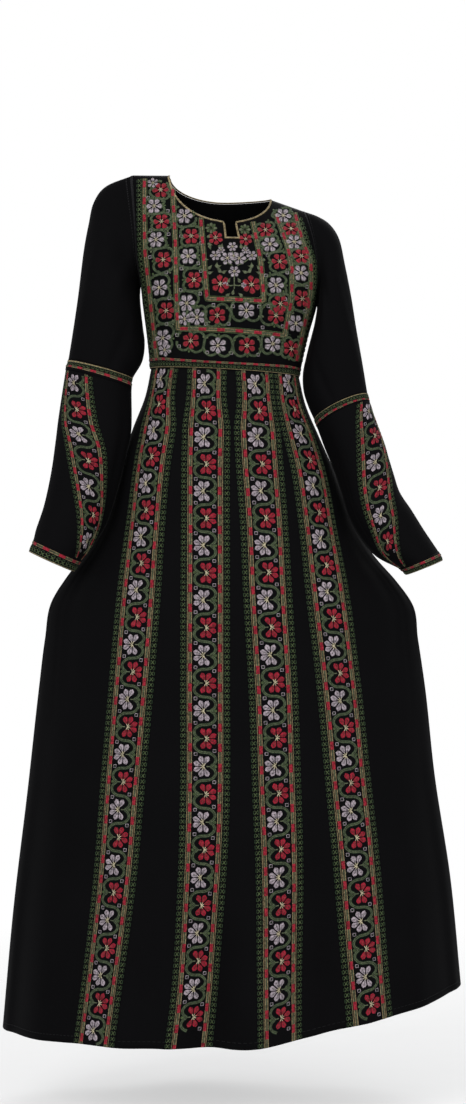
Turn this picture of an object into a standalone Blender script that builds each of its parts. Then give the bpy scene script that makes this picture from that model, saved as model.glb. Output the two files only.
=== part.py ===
"""Thobe: a full-length black dress with embroidered bands, in its worn, hollow form.

Metres, +Z up, the front towards -Y, the wearer's left towards +X. The origin lies between the
shoulders. Every cloth piece is a thin wall through sections worked out from the sizes below.
"""
import bpy
import numpy as np

CLOTH = 0.0015
BAND = 0.0010
GAP = 0.0003
BAND_SEAM = 0.00045

BLACK = (0.012, 0.012, 0.014)
GREEN = (0.10, 0.18, 0.09)
GOLD = (0.38, 0.30, 0.14)
WINE = (0.25, 0.05, 0.06)

# Waist seam: its height on the centre line, and how it falls towards the wearer's left
WAIST = -0.302
WAIST_TILT = -0.055
HEM_LIFT = 0.070
SKIRT_BAND = 0.079

SKIRT_COLUMNS = ("height", "right", "left", "front", "back", "point")
SKIRT = (
    (-0.302, -0.128, 0.112, 0.100, 0.096, 1.00),
    (-0.345, -0.137, 0.122, 0.108, 0.106, 1.02),
    (-0.400, -0.158, 0.145, 0.118, 0.118, 1.05),
    (-0.450, -0.174, 0.167, 0.126, 0.130, 1.10),
    (-0.500, -0.188, 0.186, 0.134, 0.140, 1.18),
    (-0.550, -0.206, 0.205, 0.141, 0.148, 1.28),
    (-0.600, -0.234, 0.236, 0.148, 0.156, 1.40),
    (-0.640, -0.265, 0.270, 0.153, 0.162, 1.50),
    (-0.680, -0.290, 0.297, 0.158, 0.168, 1.56),
    (-0.740, -0.301, 0.306, 0.164, 0.175, 1.48),
    (-0.820, -0.311, 0.317, 0.171, 0.184, 1.38),
    (-0.980, -0.329, 0.333, 0.183, 0.198, 1.25),
    (-1.170, -0.352, 0.359, 0.198, 0.212, 1.15),
    (-1.367, -0.370, 0.376, 0.212, 0.226, 1.10),
)

# Middle lines of the four embroidered strips, as distances from the centre line
STRIP_COLUMNS = ("height", "strip_1", "strip_2", "strip_3", "strip_4")
STRIPS = (
    (-0.302, -0.106, -0.037, 0.040, 0.093),
    (-0.345, -0.112, -0.038, 0.043, 0.098),
    (-0.400, -0.118, -0.038, 0.045, 0.114),
    (-0.450, -0.126, -0.039, 0.048, 0.127),
    (-0.550, -0.136, -0.039, 0.055, 0.142),
    (-0.660, -0.145, -0.039, 0.060, 0.156),
    (-0.800, -0.156, -0.039, 0.068, 0.172),
    (-0.980, -0.171, -0.039, 0.074, 0.189),
    (-1.070, -0.178, -0.041, 0.077, 0.198),
    (-1.280, -0.202, -0.055, 0.078, 0.215),
    (-1.367, -0.213, -0.064, 0.079, 0.222),
)

# Folds, each a row of start, peak, end, place at the top, place at the bottom, width and depth.
# The first three are shares of the way from waist to hem, where a fold begins, is deepest and
# ends. Places and width are shares of the way between the side seams. A trough's depth is negative.
FRONT_FOLDS = (
    (0.38, 1.00, 1.50, 0.120, 0.105, 0.034, -0.016),
    (0.30, 1.00, 1.50, 0.200, 0.190, 0.040, 0.012),
    (0.42, 1.00, 1.60, 0.360, 0.345, 0.034, 0.014),
    (0.55, 1.00, 1.60, 0.440, 0.470, 0.030, -0.026),
    (0.50, 1.00, 1.60, 0.520, 0.535, 0.034, 0.020),
    (0.40, 1.00, 1.50, 0.660, 0.640, 0.036, -0.018),
    (0.45, 1.00, 1.60, 0.800, 0.800, 0.034, 0.014),
    (0.36, 1.00, 1.50, 0.880, 0.890, 0.030, -0.014),
    (0.20, 0.34, 0.62, 0.130, 0.200, 0.030, -0.007),
    (0.20, 0.34, 0.66, 0.880, 0.800, 0.030, -0.007),
)
BACK_FOLDS = (
    (0.30, 1.00, 1.50, 0.140, 0.120, 0.040, -0.016),
    (0.36, 1.00, 1.50, 0.250, 0.230, 0.042, 0.018),
    (0.28, 1.00, 1.50, 0.360, 0.350, 0.038, -0.020),
    (0.40, 1.00, 1.60, 0.470, 0.460, 0.044, 0.022),
    (0.32, 1.00, 1.50, 0.590, 0.600, 0.038, -0.021),
    (0.38, 1.00, 1.60, 0.710, 0.730, 0.042, 0.017),
    (0.30, 1.00, 1.50, 0.840, 0.860, 0.040, -0.015),
)

BODY_COLUMNS = ("height", "right", "left", "front", "back", "round")
BODY = (
    (-0.310, -0.128, 0.112, 0.100, 0.096, 2.0),
    (-0.250, -0.134, 0.125, 0.107, 0.098, 2.1),
    (-0.190, -0.142, 0.142, 0.124, 0.102, 2.2),
    (-0.158, -0.146, 0.149, 0.126, 0.104, 2.3),
    (-0.120, -0.157, 0.153, 0.122, 0.106, 2.4),
    (-0.060, -0.166, 0.147, 0.116, 0.106, 2.5),
    (0.030, -0.168, 0.140, 0.112, 0.104, 2.5),
)

# Armhole edges of the bodice from the underarm to the shoulder point
ARMHOLE_COLUMNS = ("height", "across")
ARMHOLE_RIGHT = (
    (-0.158, -0.146),
    (-0.120, -0.1505),
    (-0.064, -0.152),
    (-0.020, -0.155),
    (0.021, -0.158),
)
ARMHOLE_LEFT = (
    (-0.190, 0.142),
    (-0.150, 0.1415),
    (-0.110, 0.138),
    (-0.075, 0.131),
    (-0.055, 0.125),
    (-0.0375, 0.119),
)

# Shoulder seam line: the wearer's left shoulder hangs lower
SEAM_COLUMNS = ("across", "height")
SEAM = (
    (-0.170, 0.0212),
    (-0.158, 0.0210),
    (-0.101, 0.0205),
    (0.0685, -0.0196),
    (0.119, -0.0375),
    (0.150, -0.0485),
)
NECK_RIGHT = 0.101
NECK_LEFT = 0.0685
NECK_FRONT = -0.064
NECK_BACK = -0.022
NOTCH_HALF = 0.0115
NOTCH_ROWS = 3
BINDING = 0.003

# The chest falls back to the shoulder seam above these heights
FRONT_ROUND = (-0.170, 1.35)
BACK_ROUND = (-0.120, 1.35)

SLEEVE_COLUMNS = ("out_x", "out_z", "in_x", "in_z", "depth", "middle", "rise",
                  "front_turn", "front_width", "side_turn", "side_width")
SLEEVE_RIGHT = (
    (-0.158, 0.021, -0.146, -0.158, 0.055, 0.000, 0.000, 0.365, 0.058, 0.60, 0.052),
    (-0.202, 0.003, -0.147, -0.178, 0.058, 0.000, 0.000, 0.365, 0.058, 0.60, 0.052),
    (-0.222, -0.024, -0.145, -0.203, 0.060, -0.003, 0.000, 0.365, 0.058, 0.60, 0.052),
    (-0.230, -0.060, -0.142, -0.228, 0.059, -0.008, 0.000, 0.365, 0.058, 0.60, 0.052),
    (-0.238, -0.106, -0.139, -0.255, 0.056, -0.013, 0.000, 0.365, 0.058, 0.60, 0.052),
    (-0.248, -0.189, -0.143, -0.284, 0.052, -0.019, 0.000, 0.365, 0.058, 0.60, 0.052),
    (-0.262, -0.282, -0.158, -0.311, 0.048, -0.024, 0.002, 0.365, 0.058, 0.60, 0.052),
    (-0.266, -0.298, -0.160, -0.329, 0.048, -0.026, 0.002, 0.365, 0.060, 0.60, 0.052),
    (-0.277, -0.373, -0.160, -0.396, 0.050, -0.034, 0.002, 0.328, 0.068, 0.60, 0.054),
    (-0.282, -0.416, -0.169, -0.440, 0.051, -0.041, 0.001, 0.270, 0.070, 0.59, 0.054),
    (-0.289, -0.466, -0.182, -0.495, 0.051, -0.047, 0.000, 0.215, 0.062, 0.58, 0.052),
    (-0.300, -0.517, -0.200, -0.549, 0.051, -0.052, 0.000, 0.150, 0.054, 0.57, 0.050),
    (-0.313, -0.557, -0.224, -0.587, 0.051, -0.057, 0.000, 0.090, 0.044, 0.56, 0.046),
    (-0.316, -0.572, -0.240, -0.606, 0.051, -0.059, 0.000, 0.055, 0.034, 0.56, 0.042),
    (-0.323, -0.592, -0.252, -0.624, 0.051, -0.061, 0.000, 0.055, 0.034, 0.56, 0.042),
)
SLEEVE_LEFT = (
    (0.119, -0.0375, 0.142, -0.190, 0.055, 0.000, 0.000, 0.430, 0.062, 0.68, 0.052),
    (0.143, -0.046, 0.143, -0.206, 0.058, 0.000, 0.000, 0.430, 0.062, 0.68, 0.052),
    (0.163, -0.060, 0.138, -0.224, 0.059, -0.004, 0.000, 0.430, 0.062, 0.68, 0.052),
    (0.178, -0.085, 0.132, -0.246, 0.059, -0.010, 0.000, 0.430, 0.062, 0.68, 0.052),
    (0.187, -0.127, 0.125, -0.274, 0.057, -0.016, 0.000, 0.430, 0.062, 0.68, 0.052),
    (0.197, -0.179, 0.119, -0.303, 0.054, -0.020, 0.000, 0.430, 0.062, 0.68, 0.052),
    (0.205, -0.231, 0.120, -0.332, 0.051, -0.024, 0.002, 0.430, 0.062, 0.68, 0.052),
    (0.215, -0.289, 0.128, -0.358, 0.049, -0.027, 0.006, 0.430, 0.062, 0.68, 0.052),
    (0.223, -0.339, 0.137, -0.378, 0.048, -0.030, 0.010, 0.430, 0.062, 0.68, 0.052),
    (0.226, -0.352, 0.142, -0.391, 0.048, -0.031, 0.010, 0.430, 0.062, 0.68, 0.052),
    (0.233, -0.375, 0.153, -0.422, 0.049, -0.035, 0.008, 0.395, 0.068, 0.68, 0.052),
    (0.251, -0.424, 0.168, -0.460, 0.050, -0.041, 0.005, 0.345, 0.074, 0.68, 0.052),
    (0.264, -0.466, 0.181, -0.500, 0.051, -0.046, 0.002, 0.300, 0.072, 0.68, 0.052),
    (0.274, -0.496, 0.192, -0.536, 0.051, -0.051, 0.000, 0.270, 0.064, 0.68, 0.050),
    (0.293, -0.525, 0.211, -0.570, 0.051, -0.055, 0.000, 0.225, 0.054, 0.68, 0.048),
    (0.313, -0.557, 0.238, -0.600, 0.051, -0.058, 0.000, 0.155, 0.044, 0.68, 0.046),
    (0.336, -0.592, 0.274, -0.619, 0.051, -0.060, 0.000, 0.065, 0.032, 0.68, 0.042),
    (0.342, -0.606, 0.285, -0.629, 0.051, -0.061, 0.000, 0.065, 0.032, 0.68, 0.042),
)
ELBOW_ROW_RIGHT = 6
ELBOW_ROW_LEFT = 8
SLEEVE_SIDES = 20
ARMHOLE_FADE = 3.0
BACK_TURN = -0.12

# Steps of the grids
SKIRT_ROWS = 23
BACK_ROWS = 21
SIDE_STEPS = 4
STRIP_STEPS = 2
BETWEEN_STEPS = 4
BACK_STEPS = 24
BODICE_STEPS = (3, 7, 2, 7, 3)
BODICE_MARKS = (0.0, 0.20, 0.455, 0.545, 0.80, 1.0)
BODICE_LOW = (0.0, 0.054, 0.19, 0.31)
BACK_BODICE_STEPS = (3, 8, 3)
BACK_BODICE_MARKS = (0.0, 0.20, 0.80, 1.0)
SLEEVE_STEPS = (6, 3, 3, 3, 5)
DENSE = 241


def column(rows, names, name):
    """One named column of a table."""
    place = names.index(name)
    return np.array([row[place] for row in rows])


def curve(at, knots, values):
    """Smooth line through values at rising knots: cubic pieces with the mean slope at each knot."""
    slopes = np.gradient(values, knots)
    at = np.clip(at, knots[0], knots[-1])
    left = np.clip(np.searchsorted(knots, at, side="right") - 1, 0, len(knots) - 2)
    step = knots[left + 1] - knots[left]
    t = (at - knots[left]) / step
    start = (1 + 2 * t) * (1 - t) ** 2 * values[left] + t * (1 - t) ** 2 * step * slopes[left]
    end = t * t * (3 - 2 * t) * values[left + 1] + t * t * (t - 1) * step * slopes[left + 1]
    return start + end


def read(rows, names, key, name, at):
    """A named column as a smooth function of the key column, which may rise or fall."""
    knots = column(rows, names, key)
    values = column(rows, names, name)
    order = np.argsort(knots)
    return curve(at, knots[order], values[order])


def unit(vectors):
    """Vectors at length 1."""
    return vectors / np.linalg.norm(vectors, axis=-1, keepdims=True)


def stack(x, y, z):
    """Points from their three coordinates."""
    return np.stack(np.broadcast_arrays(x, y, z), axis=-1)


def between(marks, steps):
    """Places along each row: every stretch between two marks is cut into equal steps."""
    marks = [np.asarray(mark, float) for mark in marks]
    parts = [np.linspace(a, b, n, endpoint=False, axis=-1) for a, b, n in zip(marks, marks[1:], steps)]
    return np.concatenate(parts + [marks[-1][..., None]], axis=-1)


def normals(grid, closed=False):
    """Outward directions of a grid: the slope down its columns crossed with that along its rows."""
    down = np.gradient(grid, axis=0)
    along = np.roll(grid, -1, 1) - np.roll(grid, 1, 1) if closed else np.gradient(grid, axis=1)
    return unit(np.cross(down, along))


def flatten(directions, axis):
    """Directions without their share along an axis, so that a seam's edge stays in its plane."""
    axis = np.asarray(axis, float)
    axis = axis / np.linalg.norm(axis)
    return unit(directions - (directions @ axis)[..., None] * axis)


def folds(table, across, down):
    """Height of all folds: each is a bell across its line, swelling to its peak and ending."""
    height = np.zeros(np.broadcast(across, down).shape)
    for start, peak, end, top, bottom, width, depth in table:
        line = top + (bottom - top) * np.clip((down - start) / (min(end, 1.0) - start), 0, 1)
        grow = np.clip((down - start) / (peak - start), 0, 1)
        fade = np.clip((end - down) / (end - peak), 0, 1)
        swell = (grow * grow * (3 - 2 * grow)) * (fade * fade * (3 - 2 * fade))
        height = height + depth * swell * np.exp(-((across - line) / width) ** 2)
    return height


def fabric(name, colour):
    """Matt cloth."""
    material = bpy.data.materials.new(name)
    material.use_nodes = True
    shader = material.node_tree.nodes["Principled BSDF"]
    shader.inputs["Base Color"].default_value = (*colour, 1.0)
    shader.inputs["Roughness"].default_value = 0.9
    shader.inputs["Metallic"].default_value = 0.0
    return material


def piece(name, outer, inner, colour, closed=False, left_out=()):
    """A closed wall between two grids, without the cells in left_out, as one named object."""
    rows, cols, _ = outer.shape
    corners = np.arange(rows * cols).reshape(rows, cols)
    right = np.roll(corners, -1, 1)
    last = cols if closed else cols - 1
    faces = []
    for i in range(rows - 1):
        for j in range(last):
            if (i, j) not in left_out:
                a, b, c, d = corners[i, j], corners[i + 1, j], right[i + 1, j], right[i, j]
                faces += [(a, b, c), (a, c, d)]
    edges = {(face[k], face[(k + 1) % 3]) for face in faces for k in range(3)}
    rim = sorted((p, q) for p, q in edges if (q, p) not in edges)
    under = rows * cols
    solid = list(faces)
    solid += [(c + under, b + under, a + under) for a, b, c in faces]
    for p, q in rim:
        solid += [(q, p, p + under), (q, p + under, q + under)]
    points = np.concatenate([outer.reshape(-1, 3), inner.reshape(-1, 3)])
    used = sorted({int(k) for face in solid for k in face})
    place = {k: n for n, k in enumerate(used)}
    mesh = bpy.data.meshes.new(name)
    mesh.from_pydata([tuple(points[k]) for k in used], [], [tuple(place[int(k)] for k in f) for f in solid])
    mesh.shade_smooth()
    mesh.materials.append(fabric(name, colour))
    thing = bpy.data.objects.new(name, mesh)
    bpy.context.scene.collection.objects.link(thing)
    return thing


def wall(name, grid, out, colour, closed=False, left_out=()):
    """A cloth panel: the grid is its outer face."""
    return piece(name, grid, grid - CLOTH * out, colour, closed, left_out)


def laid(name, grid, out, colour, closed=False):
    """A band on a panel: the panel's own points, moved out."""
    return piece(name, grid + (GAP + BAND) * out, grid + GAP * out, colour, closed)


def trim(grid, ends):
    """A band's grid with its first or last row drawn in by the seam gap."""
    short = grid.copy()
    for end, step in ends:
        short[end] = grid[end] + BAND_SEAM * unit(grid[end + step] - grid[end])
    return short


def skirt_point(across, down, side):
    """Skirt surface. across runs 0 to 1 between the side seams, down runs from waist to hem.

    A section is half an ellipse whose ends are drawn out to a point where the sides are held.
    """
    heights = column(SKIRT, SKIRT_COLUMNS, "height")
    level = heights[0] + (heights[-1] - heights[0]) * down
    size = {name: read(SKIRT, SKIRT_COLUMNS, "height", name, level) for name in SKIRT_COLUMNS[1:]}
    middle = (size["right"] + size["left"]) / 2
    half = (size["left"] - size["right"]) / 2
    x = middle - half * np.cos(np.pi * across)
    table, depth, sign = (FRONT_FOLDS, size["front"], -1) if side == "front" else (BACK_FOLDS, size["back"], 1)
    y = depth * np.sin(np.pi * np.clip(across, 0, 1)) ** size["point"]
    y = y + folds(table, across, down) * np.sin(np.pi * across) ** 0.5
    lift = HEM_LIFT * down ** 2 * np.clip(x / size["left"], 0, 1) ** 1.3
    z = level + WAIST_TILT * x * (1 - down) ** 2 + lift
    return stack(x, sign * (y + GAP / 2), z - GAP / 2)


def strip_marks(down):
    """Edges of the four strips, as places across the front skirt in each row.

    A strip keeps its width along the cloth, but for the waist, where neighbours would overlap.
    """
    heights = column(SKIRT, SKIRT_COLUMNS, "height")
    dense = np.linspace(0, 1, DENSE)
    marks = []
    for share in down:
        level = heights[0] + (heights[-1] - heights[0]) * share
        right = read(SKIRT, SKIRT_COLUMNS, "height", "right", level)
        left = read(SKIRT, SKIRT_COLUMNS, "height", "left", level)
        run = skirt_point(dense, share, "front")
        length = np.concatenate([[0], np.cumsum(np.linalg.norm(np.diff(run, axis=0), axis=1))])
        lines = np.array([read(STRIPS, STRIP_COLUMNS, "height", name, level) for name in STRIP_COLUMNS[1:]])
        places = np.arccos(((right + left) / 2 - lines) / ((left - right) / 2)) / np.pi
        along = np.interp(places, dense, length)
        half = min(SKIRT_BAND, np.diff(along).min() - 4 * GAP) / 2
        edges = np.stack([along - half, along + half], axis=1).ravel()
        marks.append(np.interp(edges, length, dense))
    return np.array(marks)


def build_skirt():
    """Front and back skirt, and the four embroidered strips on the front."""
    down = np.linspace(0, 1, SKIRT_ROWS)
    edges = strip_marks(down)
    marks = [0 * down, *edges.T, 0 * down + 1]
    steps = [SIDE_STEPS] + [STRIP_STEPS, BETWEEN_STEPS] * 3 + [STRIP_STEPS, SIDE_STEPS]
    front = skirt_point(between(marks, steps), down[:, None], "front")
    out = skirt_normals(front)
    wall("front_skirt", front, out, BLACK)
    first = SIDE_STEPS
    for number in range(4):
        cols = slice(first, first + STRIP_STEPS + 1)
        laid(f"skirt_band_{number + 1}", front[:, cols], out[:, cols], WINE)
        first += STRIP_STEPS + BETWEEN_STEPS
    down = np.linspace(0, 1, BACK_ROWS)
    across = np.linspace(1, 0, BACK_STEPS + 1)
    back = skirt_point(across[None, :], down[:, None], "back")
    wall("back_skirt", back, skirt_normals(back), BLACK)


def skirt_normals(grid):
    """Outward directions, level at the waist and the hem and square to the side seams."""
    out = normals(grid)
    for row in (0, -1):
        out[row] = flatten(out[row], (0, 0, 1))
    for side in (0, -1):
        out[:, side] = flatten(out[:, side], (0, 1, 0))
    return out


def seam_height(x):
    """Height of the shoulder seam, or of the line across the neck between its ends."""
    return np.interp(x, column(SEAM, SEAM_COLUMNS, "across"), column(SEAM, SEAM_COLUMNS, "height"))


def body_depth(x, z, side):
    """How far the bodice lies from the side plane at a place seen from the front."""
    size = {name: read(BODY, BODY_COLUMNS, "height", name, z) for name in BODY_COLUMNS[1:]}
    middle = (size["right"] + size["left"]) / 2
    half = (size["left"] - size["right"]) / 2
    share = np.clip(np.abs(x - middle) / half, 0, 1)
    section = np.clip(1 - share ** size["round"], 0, 1) ** (1 / size["round"])
    start, power = FRONT_ROUND if side == "front" else BACK_ROUND
    rise = np.clip((z - start) / (seam_height(x) - start), 0, 1)
    roof = np.clip(1 - rise ** power, 0, 1) ** (1 / power)
    return size[side] * section * roof


def armhole(table, share):
    """Place on an armhole edge, seen from the front, from the underarm (0) to the shoulder (1)."""
    heights = column(table, ARMHOLE_COLUMNS, "height")
    z = heights[0] + (heights[-1] - heights[0]) * share
    return read(table, ARMHOLE_COLUMNS, "height", "across", z), z


def side_edge(table, name, shares, turn):
    """Edge of a bodice panel from the waist up: the side seam, then the armhole."""
    x_waist = read(BODY, BODY_COLUMNS, "height", name, WAIST)
    waist = WAIST + WAIST_TILT * x_waist
    top = table[-1][0]
    low_z = waist + (top - waist) * np.array(shares)
    low_x = read(BODY, BODY_COLUMNS, "height", name, low_z)
    low_x[0] = x_waist
    high_x, high_z = armhole(table, turn)
    return np.concatenate([low_x, high_x]), np.concatenate([low_z, high_z])


def top_edge(places, marks, side):
    """Top edge of a bodice panel: shoulder seam, neckline, shoulder seam."""
    neck = (marks[1], marks[-2])
    right_x, left_x = ARMHOLE_RIGHT[-1][1], ARMHOLE_LEFT[-1][1]
    low = NECK_FRONT if side == "front" else NECK_BACK
    x = np.zeros(len(places))
    z = np.zeros(len(places))
    for k, place in enumerate(places):
        if place <= neck[0]:
            x[k] = right_x + (-NECK_RIGHT - right_x) * place / neck[0]
            z[k] = seam_height(x[k])
        elif place >= neck[1]:
            x[k] = left_x + (NECK_LEFT - left_x) * (1 - place) / (1 - neck[1])
            z[k] = seam_height(x[k])
        else:
            x[k], z[k] = neckline((place - neck[0]) / (neck[1] - neck[0]), low)
    if side == "front":
        inside = [k for k, place in enumerate(places) if marks[2] - GAP <= place <= marks[3] + GAP]
        x[inside] = np.linspace(-NOTCH_HALF, NOTCH_HALF, len(inside))
        z[inside] = low
    return x, z


def neckline(share, low):
    """The neckline is two quarter ellipses that meet on the centre line at the height low."""
    angle = np.pi * share
    width = NECK_RIGHT if share < 0.5 else NECK_LEFT
    high = seam_height(-NECK_RIGHT if share < 0.5 else NECK_LEFT)
    return -width * np.cos(angle), high - (high - low) * np.sin(angle)


def bodice_grid(side, marks, steps):
    """Bodice panel, filled in from its four edges as seen from the front, then given its depth."""
    places = between([np.array(mark) for mark in marks], steps)
    half_turn = np.linspace(0, np.pi, SLEEVE_SIDES // 2 + 1)
    turn = (1 - np.cos(half_turn)) / 2
    right_x, right_z = side_edge(ARMHOLE_RIGHT, "right", BODICE_LOW, turn)
    left_x, left_z = side_edge(ARMHOLE_LEFT, "left", BODICE_LOW, turn)
    rows = (right_z - right_z[0]) / (right_z[-1] - right_z[0])
    waist_right = read(BODY, BODY_COLUMNS, "height", "right", WAIST)
    waist_left = read(BODY, BODY_COLUMNS, "height", "left", WAIST)
    low_x = (waist_right + waist_left) / 2 - (waist_left - waist_right) / 2 * np.cos(np.pi * places)
    low_z = WAIST + WAIST_TILT * low_x
    top_x, top_z = top_edge(places, marks, side)
    c = places[None, :]
    v = rows[:, None]
    x = blend(right_x, left_x, low_x, top_x, c, v)
    z = blend(right_z, left_z, low_z, top_z, c, v)
    y = body_depth(x, z, side) + GAP / 2
    grid = stack(x, -y if side == "front" else y, z + GAP / 2)[::-1]
    return grid if side == "front" else grid[:, ::-1]


def blend(start, end, low, top, c, v):
    """A surface through four edges: both rulings added, less the one through the corners."""
    sides = (1 - c) * start[:, None] + c * end[:, None]
    ends = (1 - v) * low[None, :] + v * top[None, :]
    corners = (1 - c) * (1 - v) * low[0] + c * (1 - v) * low[-1] + (1 - c) * v * top[0] + c * v * top[-1]
    return sides + ends - corners


def bodice_normals(grid, steps):
    """Outward directions, level at the waist and square to the shoulder and side seams."""
    out = normals(grid)
    out[-1] = flatten(out[-1], (0, 0, 1))
    low = len(BODICE_LOW) + 1
    for side in (0, -1):
        out[-low:, side] = flatten(out[-low:, side], (0, 1, 0))
    first, last = steps[0], steps[-1]
    out[0, :first + 1] = (0, 0, 1)
    out[0, -last - 1:] = (0, 0, 1)
    return out


def build_bodice():
    """Front and back bodice, the waist band and the binding of the neck."""
    front = bodice_grid("front", BODICE_MARKS, BODICE_STEPS)
    out = bodice_normals(front, BODICE_STEPS)
    notch = BODICE_STEPS[0] + BODICE_STEPS[1]
    cut = {(row, notch + k) for row in range(NOTCH_ROWS) for k in range(BODICE_STEPS[2])}
    wall("front_bodice", front, out, WINE, left_out=cut)
    laid("waist_band", front[-2:], out[-2:], GREEN)
    back = bodice_grid("back", BACK_BODICE_MARKS, BACK_BODICE_STEPS)
    back_out = bodice_normals(back, BACK_BODICE_STEPS)
    wall("back_bodice", back, back_out, BLACK)
    build_binding(front, out, back, back_out)


def build_binding(front, front_out, back, back_out):
    """A narrow band along the neckline, down one side of the notch, across and up the other."""
    first = BODICE_STEPS[0]
    notch = first + BODICE_STEPS[1]
    far = notch + BODICE_STEPS[2]
    last = front.shape[1] - 1 - BODICE_STEPS[-1]
    path = [(0, j) for j in range(first, notch)]
    path += [(i, notch) for i in range(NOTCH_ROWS)]
    path += [(NOTCH_ROWS, j) for j in range(notch, far + 1)]
    path += [(i, far) for i in range(NOTCH_ROWS - 1, -1, -1)]
    path += [(0, j) for j in range(far + 1, last + 1)]
    behind = range(BACK_BODICE_STEPS[0] + 1, back.shape[1] - 1 - BACK_BODICE_STEPS[-1])
    edge = np.array([front[place] for place in path] + [back[0, j] for j in behind])
    lift = np.array([front_out[place] for place in path] + [back_out[0, j] for j in behind])
    run = np.roll(edge, -1, axis=0) - np.roll(edge, 1, axis=0)
    away = unit(np.cross(run, lift))
    seam = 2 * GAP
    grid = np.stack([edge - (seam + BINDING) * away, edge - seam * away])
    wall("neck_binding", grid, np.stack([lift, lift]), GOLD, closed=True)


def sleeve_grid(table, arm, rows, turns):
    """Sleeve surface: tilted ellipses, which take the form of the armhole near the shoulder.

    turns runs from the inner side (0) over the front (0.25) to the outer side (0.5).
    """
    knots = np.arange(len(table), dtype=float)
    size = {name: curve(rows, knots, column(table, SLEEVE_COLUMNS, name))[:, None] for name in SLEEVE_COLUMNS}
    angle = 2 * np.pi * turns
    swing = (1 - np.cos(angle)) / 2
    x = size["in_x"] + (size["out_x"] - size["in_x"]) * swing
    z = size["in_z"] + (size["out_z"] - size["in_z"]) * swing + size["rise"] * np.sin(angle)
    y = size["middle"] - size["depth"] * np.sin(angle)
    ring = stack(x, y, z)
    fade = np.clip(1 - rows / ARMHOLE_FADE, 0, 1)[:, None, None] ** 2
    share = np.broadcast_to(swing, x.shape)[:1]
    arm_x, arm_z = armhole(arm, share[0])
    front = np.sin(angle[0]) >= 0
    depth = np.where(front, -body_depth(arm_x, arm_z, "front"), body_depth(arm_x, arm_z, "back"))
    first = stack(table[0][2] + (table[0][0] - table[0][2]) * share[0], 0 * depth, arm_z)
    plain = first + stack(0 * depth, -table[0][4] * np.sin(angle[0]), 0 * depth)
    return ring + fade * (stack(arm_x, depth, arm_z) - plain)[None]


def ring_axis(ring):
    """Direction square to a ring's plane."""
    half = len(ring) // 2
    quarter = len(ring) // 4
    return np.cross(ring[half] - ring[0], ring[half + quarter] - ring[quarter])


def build_sleeve(word, table, arm, elbow, outwards):
    """One sleeve: upper and lower tube, elbow and cuff bands, and the two strips."""
    flip = outwards < 0
    turns = np.arange(SLEEVE_SIDES) / SLEEVE_SIDES
    upper = sleeve_grid(table, arm, np.arange(elbow + 1, dtype=float), turns[None, :])
    upper[0, :, 0] += outwards * 2 * GAP
    axis = unit(ring_axis(upper[-1]))
    axis = axis if axis[2] < 0 else -axis
    upper[-1] -= GAP * axis
    rows = np.arange(elbow, len(table), dtype=float)
    lower = sleeve_grid(table, arm, rows, sleeve_turns(table, rows))
    if flip:
        upper, lower = upper[:, ::-1], lower[:, ::-1]
    out = normals(upper, closed=True)
    out[0] = flatten(out[0], (1, 0, 0))
    out[-1] = flatten(out[-1], axis)
    wall(f"upper_sleeve_{word}", upper, out, BLACK, closed=True)
    out = normals(lower, closed=True)
    out[0] = flatten(out[0], axis)
    wall(f"lower_sleeve_{word}", lower, out, BLACK, closed=True)
    laid(f"elbow_band_{word}", lower[:2], out[:2], GREEN, closed=True)
    laid(f"cuff_band_{word}", lower[-2:], out[-2:], GREEN, closed=True)
    last = sum(SLEEVE_STEPS)
    starts = {"front": SLEEVE_STEPS[0], "side": sum(SLEEVE_STEPS[:3])}
    for strip, start in starts.items():
        cols = np.arange(start, start + SLEEVE_STEPS[1] + 1)
        if flip:
            cols = (last - 1 - cols)[::-1]
        grid = trim(lower[1:-1][:, cols], ((0, 1), (-1, -1)))
        laid(f"sleeve_{strip}_band_{word}", grid, out[1:-1][:, cols], WINE)


def sleeve_turns(table, rows):
    """Places round the lower sleeve in each row, with the strips' edges among them."""
    knots = np.arange(len(table), dtype=float)
    size = {name: curve(rows, knots, column(table, SLEEVE_COLUMNS, name)) for name in SLEEVE_COLUMNS}
    half = np.hypot(size["out_x"] - size["in_x"], size["out_z"] - size["in_z"]) / 2
    girth = 2 * np.pi * np.sqrt((half ** 2 + size["depth"] ** 2) / 2)
    marks = [0 * rows + BACK_TURN]
    for strip in ("front", "side"):
        width = size[f"{strip}_width"] / girth
        marks += [size[f"{strip}_turn"] - width / 2, size[f"{strip}_turn"] + width / 2]
    marks.append(0 * rows + BACK_TURN + 1)
    return between(marks, SLEEVE_STEPS)[:, :-1]


def build():
    """The whole dress."""
    for thing in list(bpy.data.objects):
        bpy.data.objects.remove(thing, do_unlink=True)
    build_bodice()
    build_skirt()
    build_sleeve("right", SLEEVE_RIGHT, ARMHOLE_RIGHT, ELBOW_ROW_RIGHT, -1)
    build_sleeve("left", SLEEVE_LEFT, ARMHOLE_LEFT, ELBOW_ROW_LEFT, 1)


build()
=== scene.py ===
"""Looks of the thobe: fine cloth shells, raised thread embroidery, a pale floor and soft light."""

import bpy
import numpy as np
from bpy.props import FloatProperty, FloatVectorProperty, IntProperty, PointerProperty
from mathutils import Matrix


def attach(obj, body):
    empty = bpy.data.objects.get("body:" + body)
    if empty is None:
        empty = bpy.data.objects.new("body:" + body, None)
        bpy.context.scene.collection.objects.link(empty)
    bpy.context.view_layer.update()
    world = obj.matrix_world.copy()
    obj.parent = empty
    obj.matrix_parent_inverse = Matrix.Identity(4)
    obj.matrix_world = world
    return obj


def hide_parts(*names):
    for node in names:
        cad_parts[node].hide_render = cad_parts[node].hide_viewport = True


bl_info = {
    "name": "Embroidered thobe",
    "version": (1, 0, 0),
    "blender": (4, 5, 0),
    "location": "3D View > Sidebar > Thobe",
    "description": "Cloth shells and raised thread embroidery of a full-length dress",
    "category": "Add Mesh",
}

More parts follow.
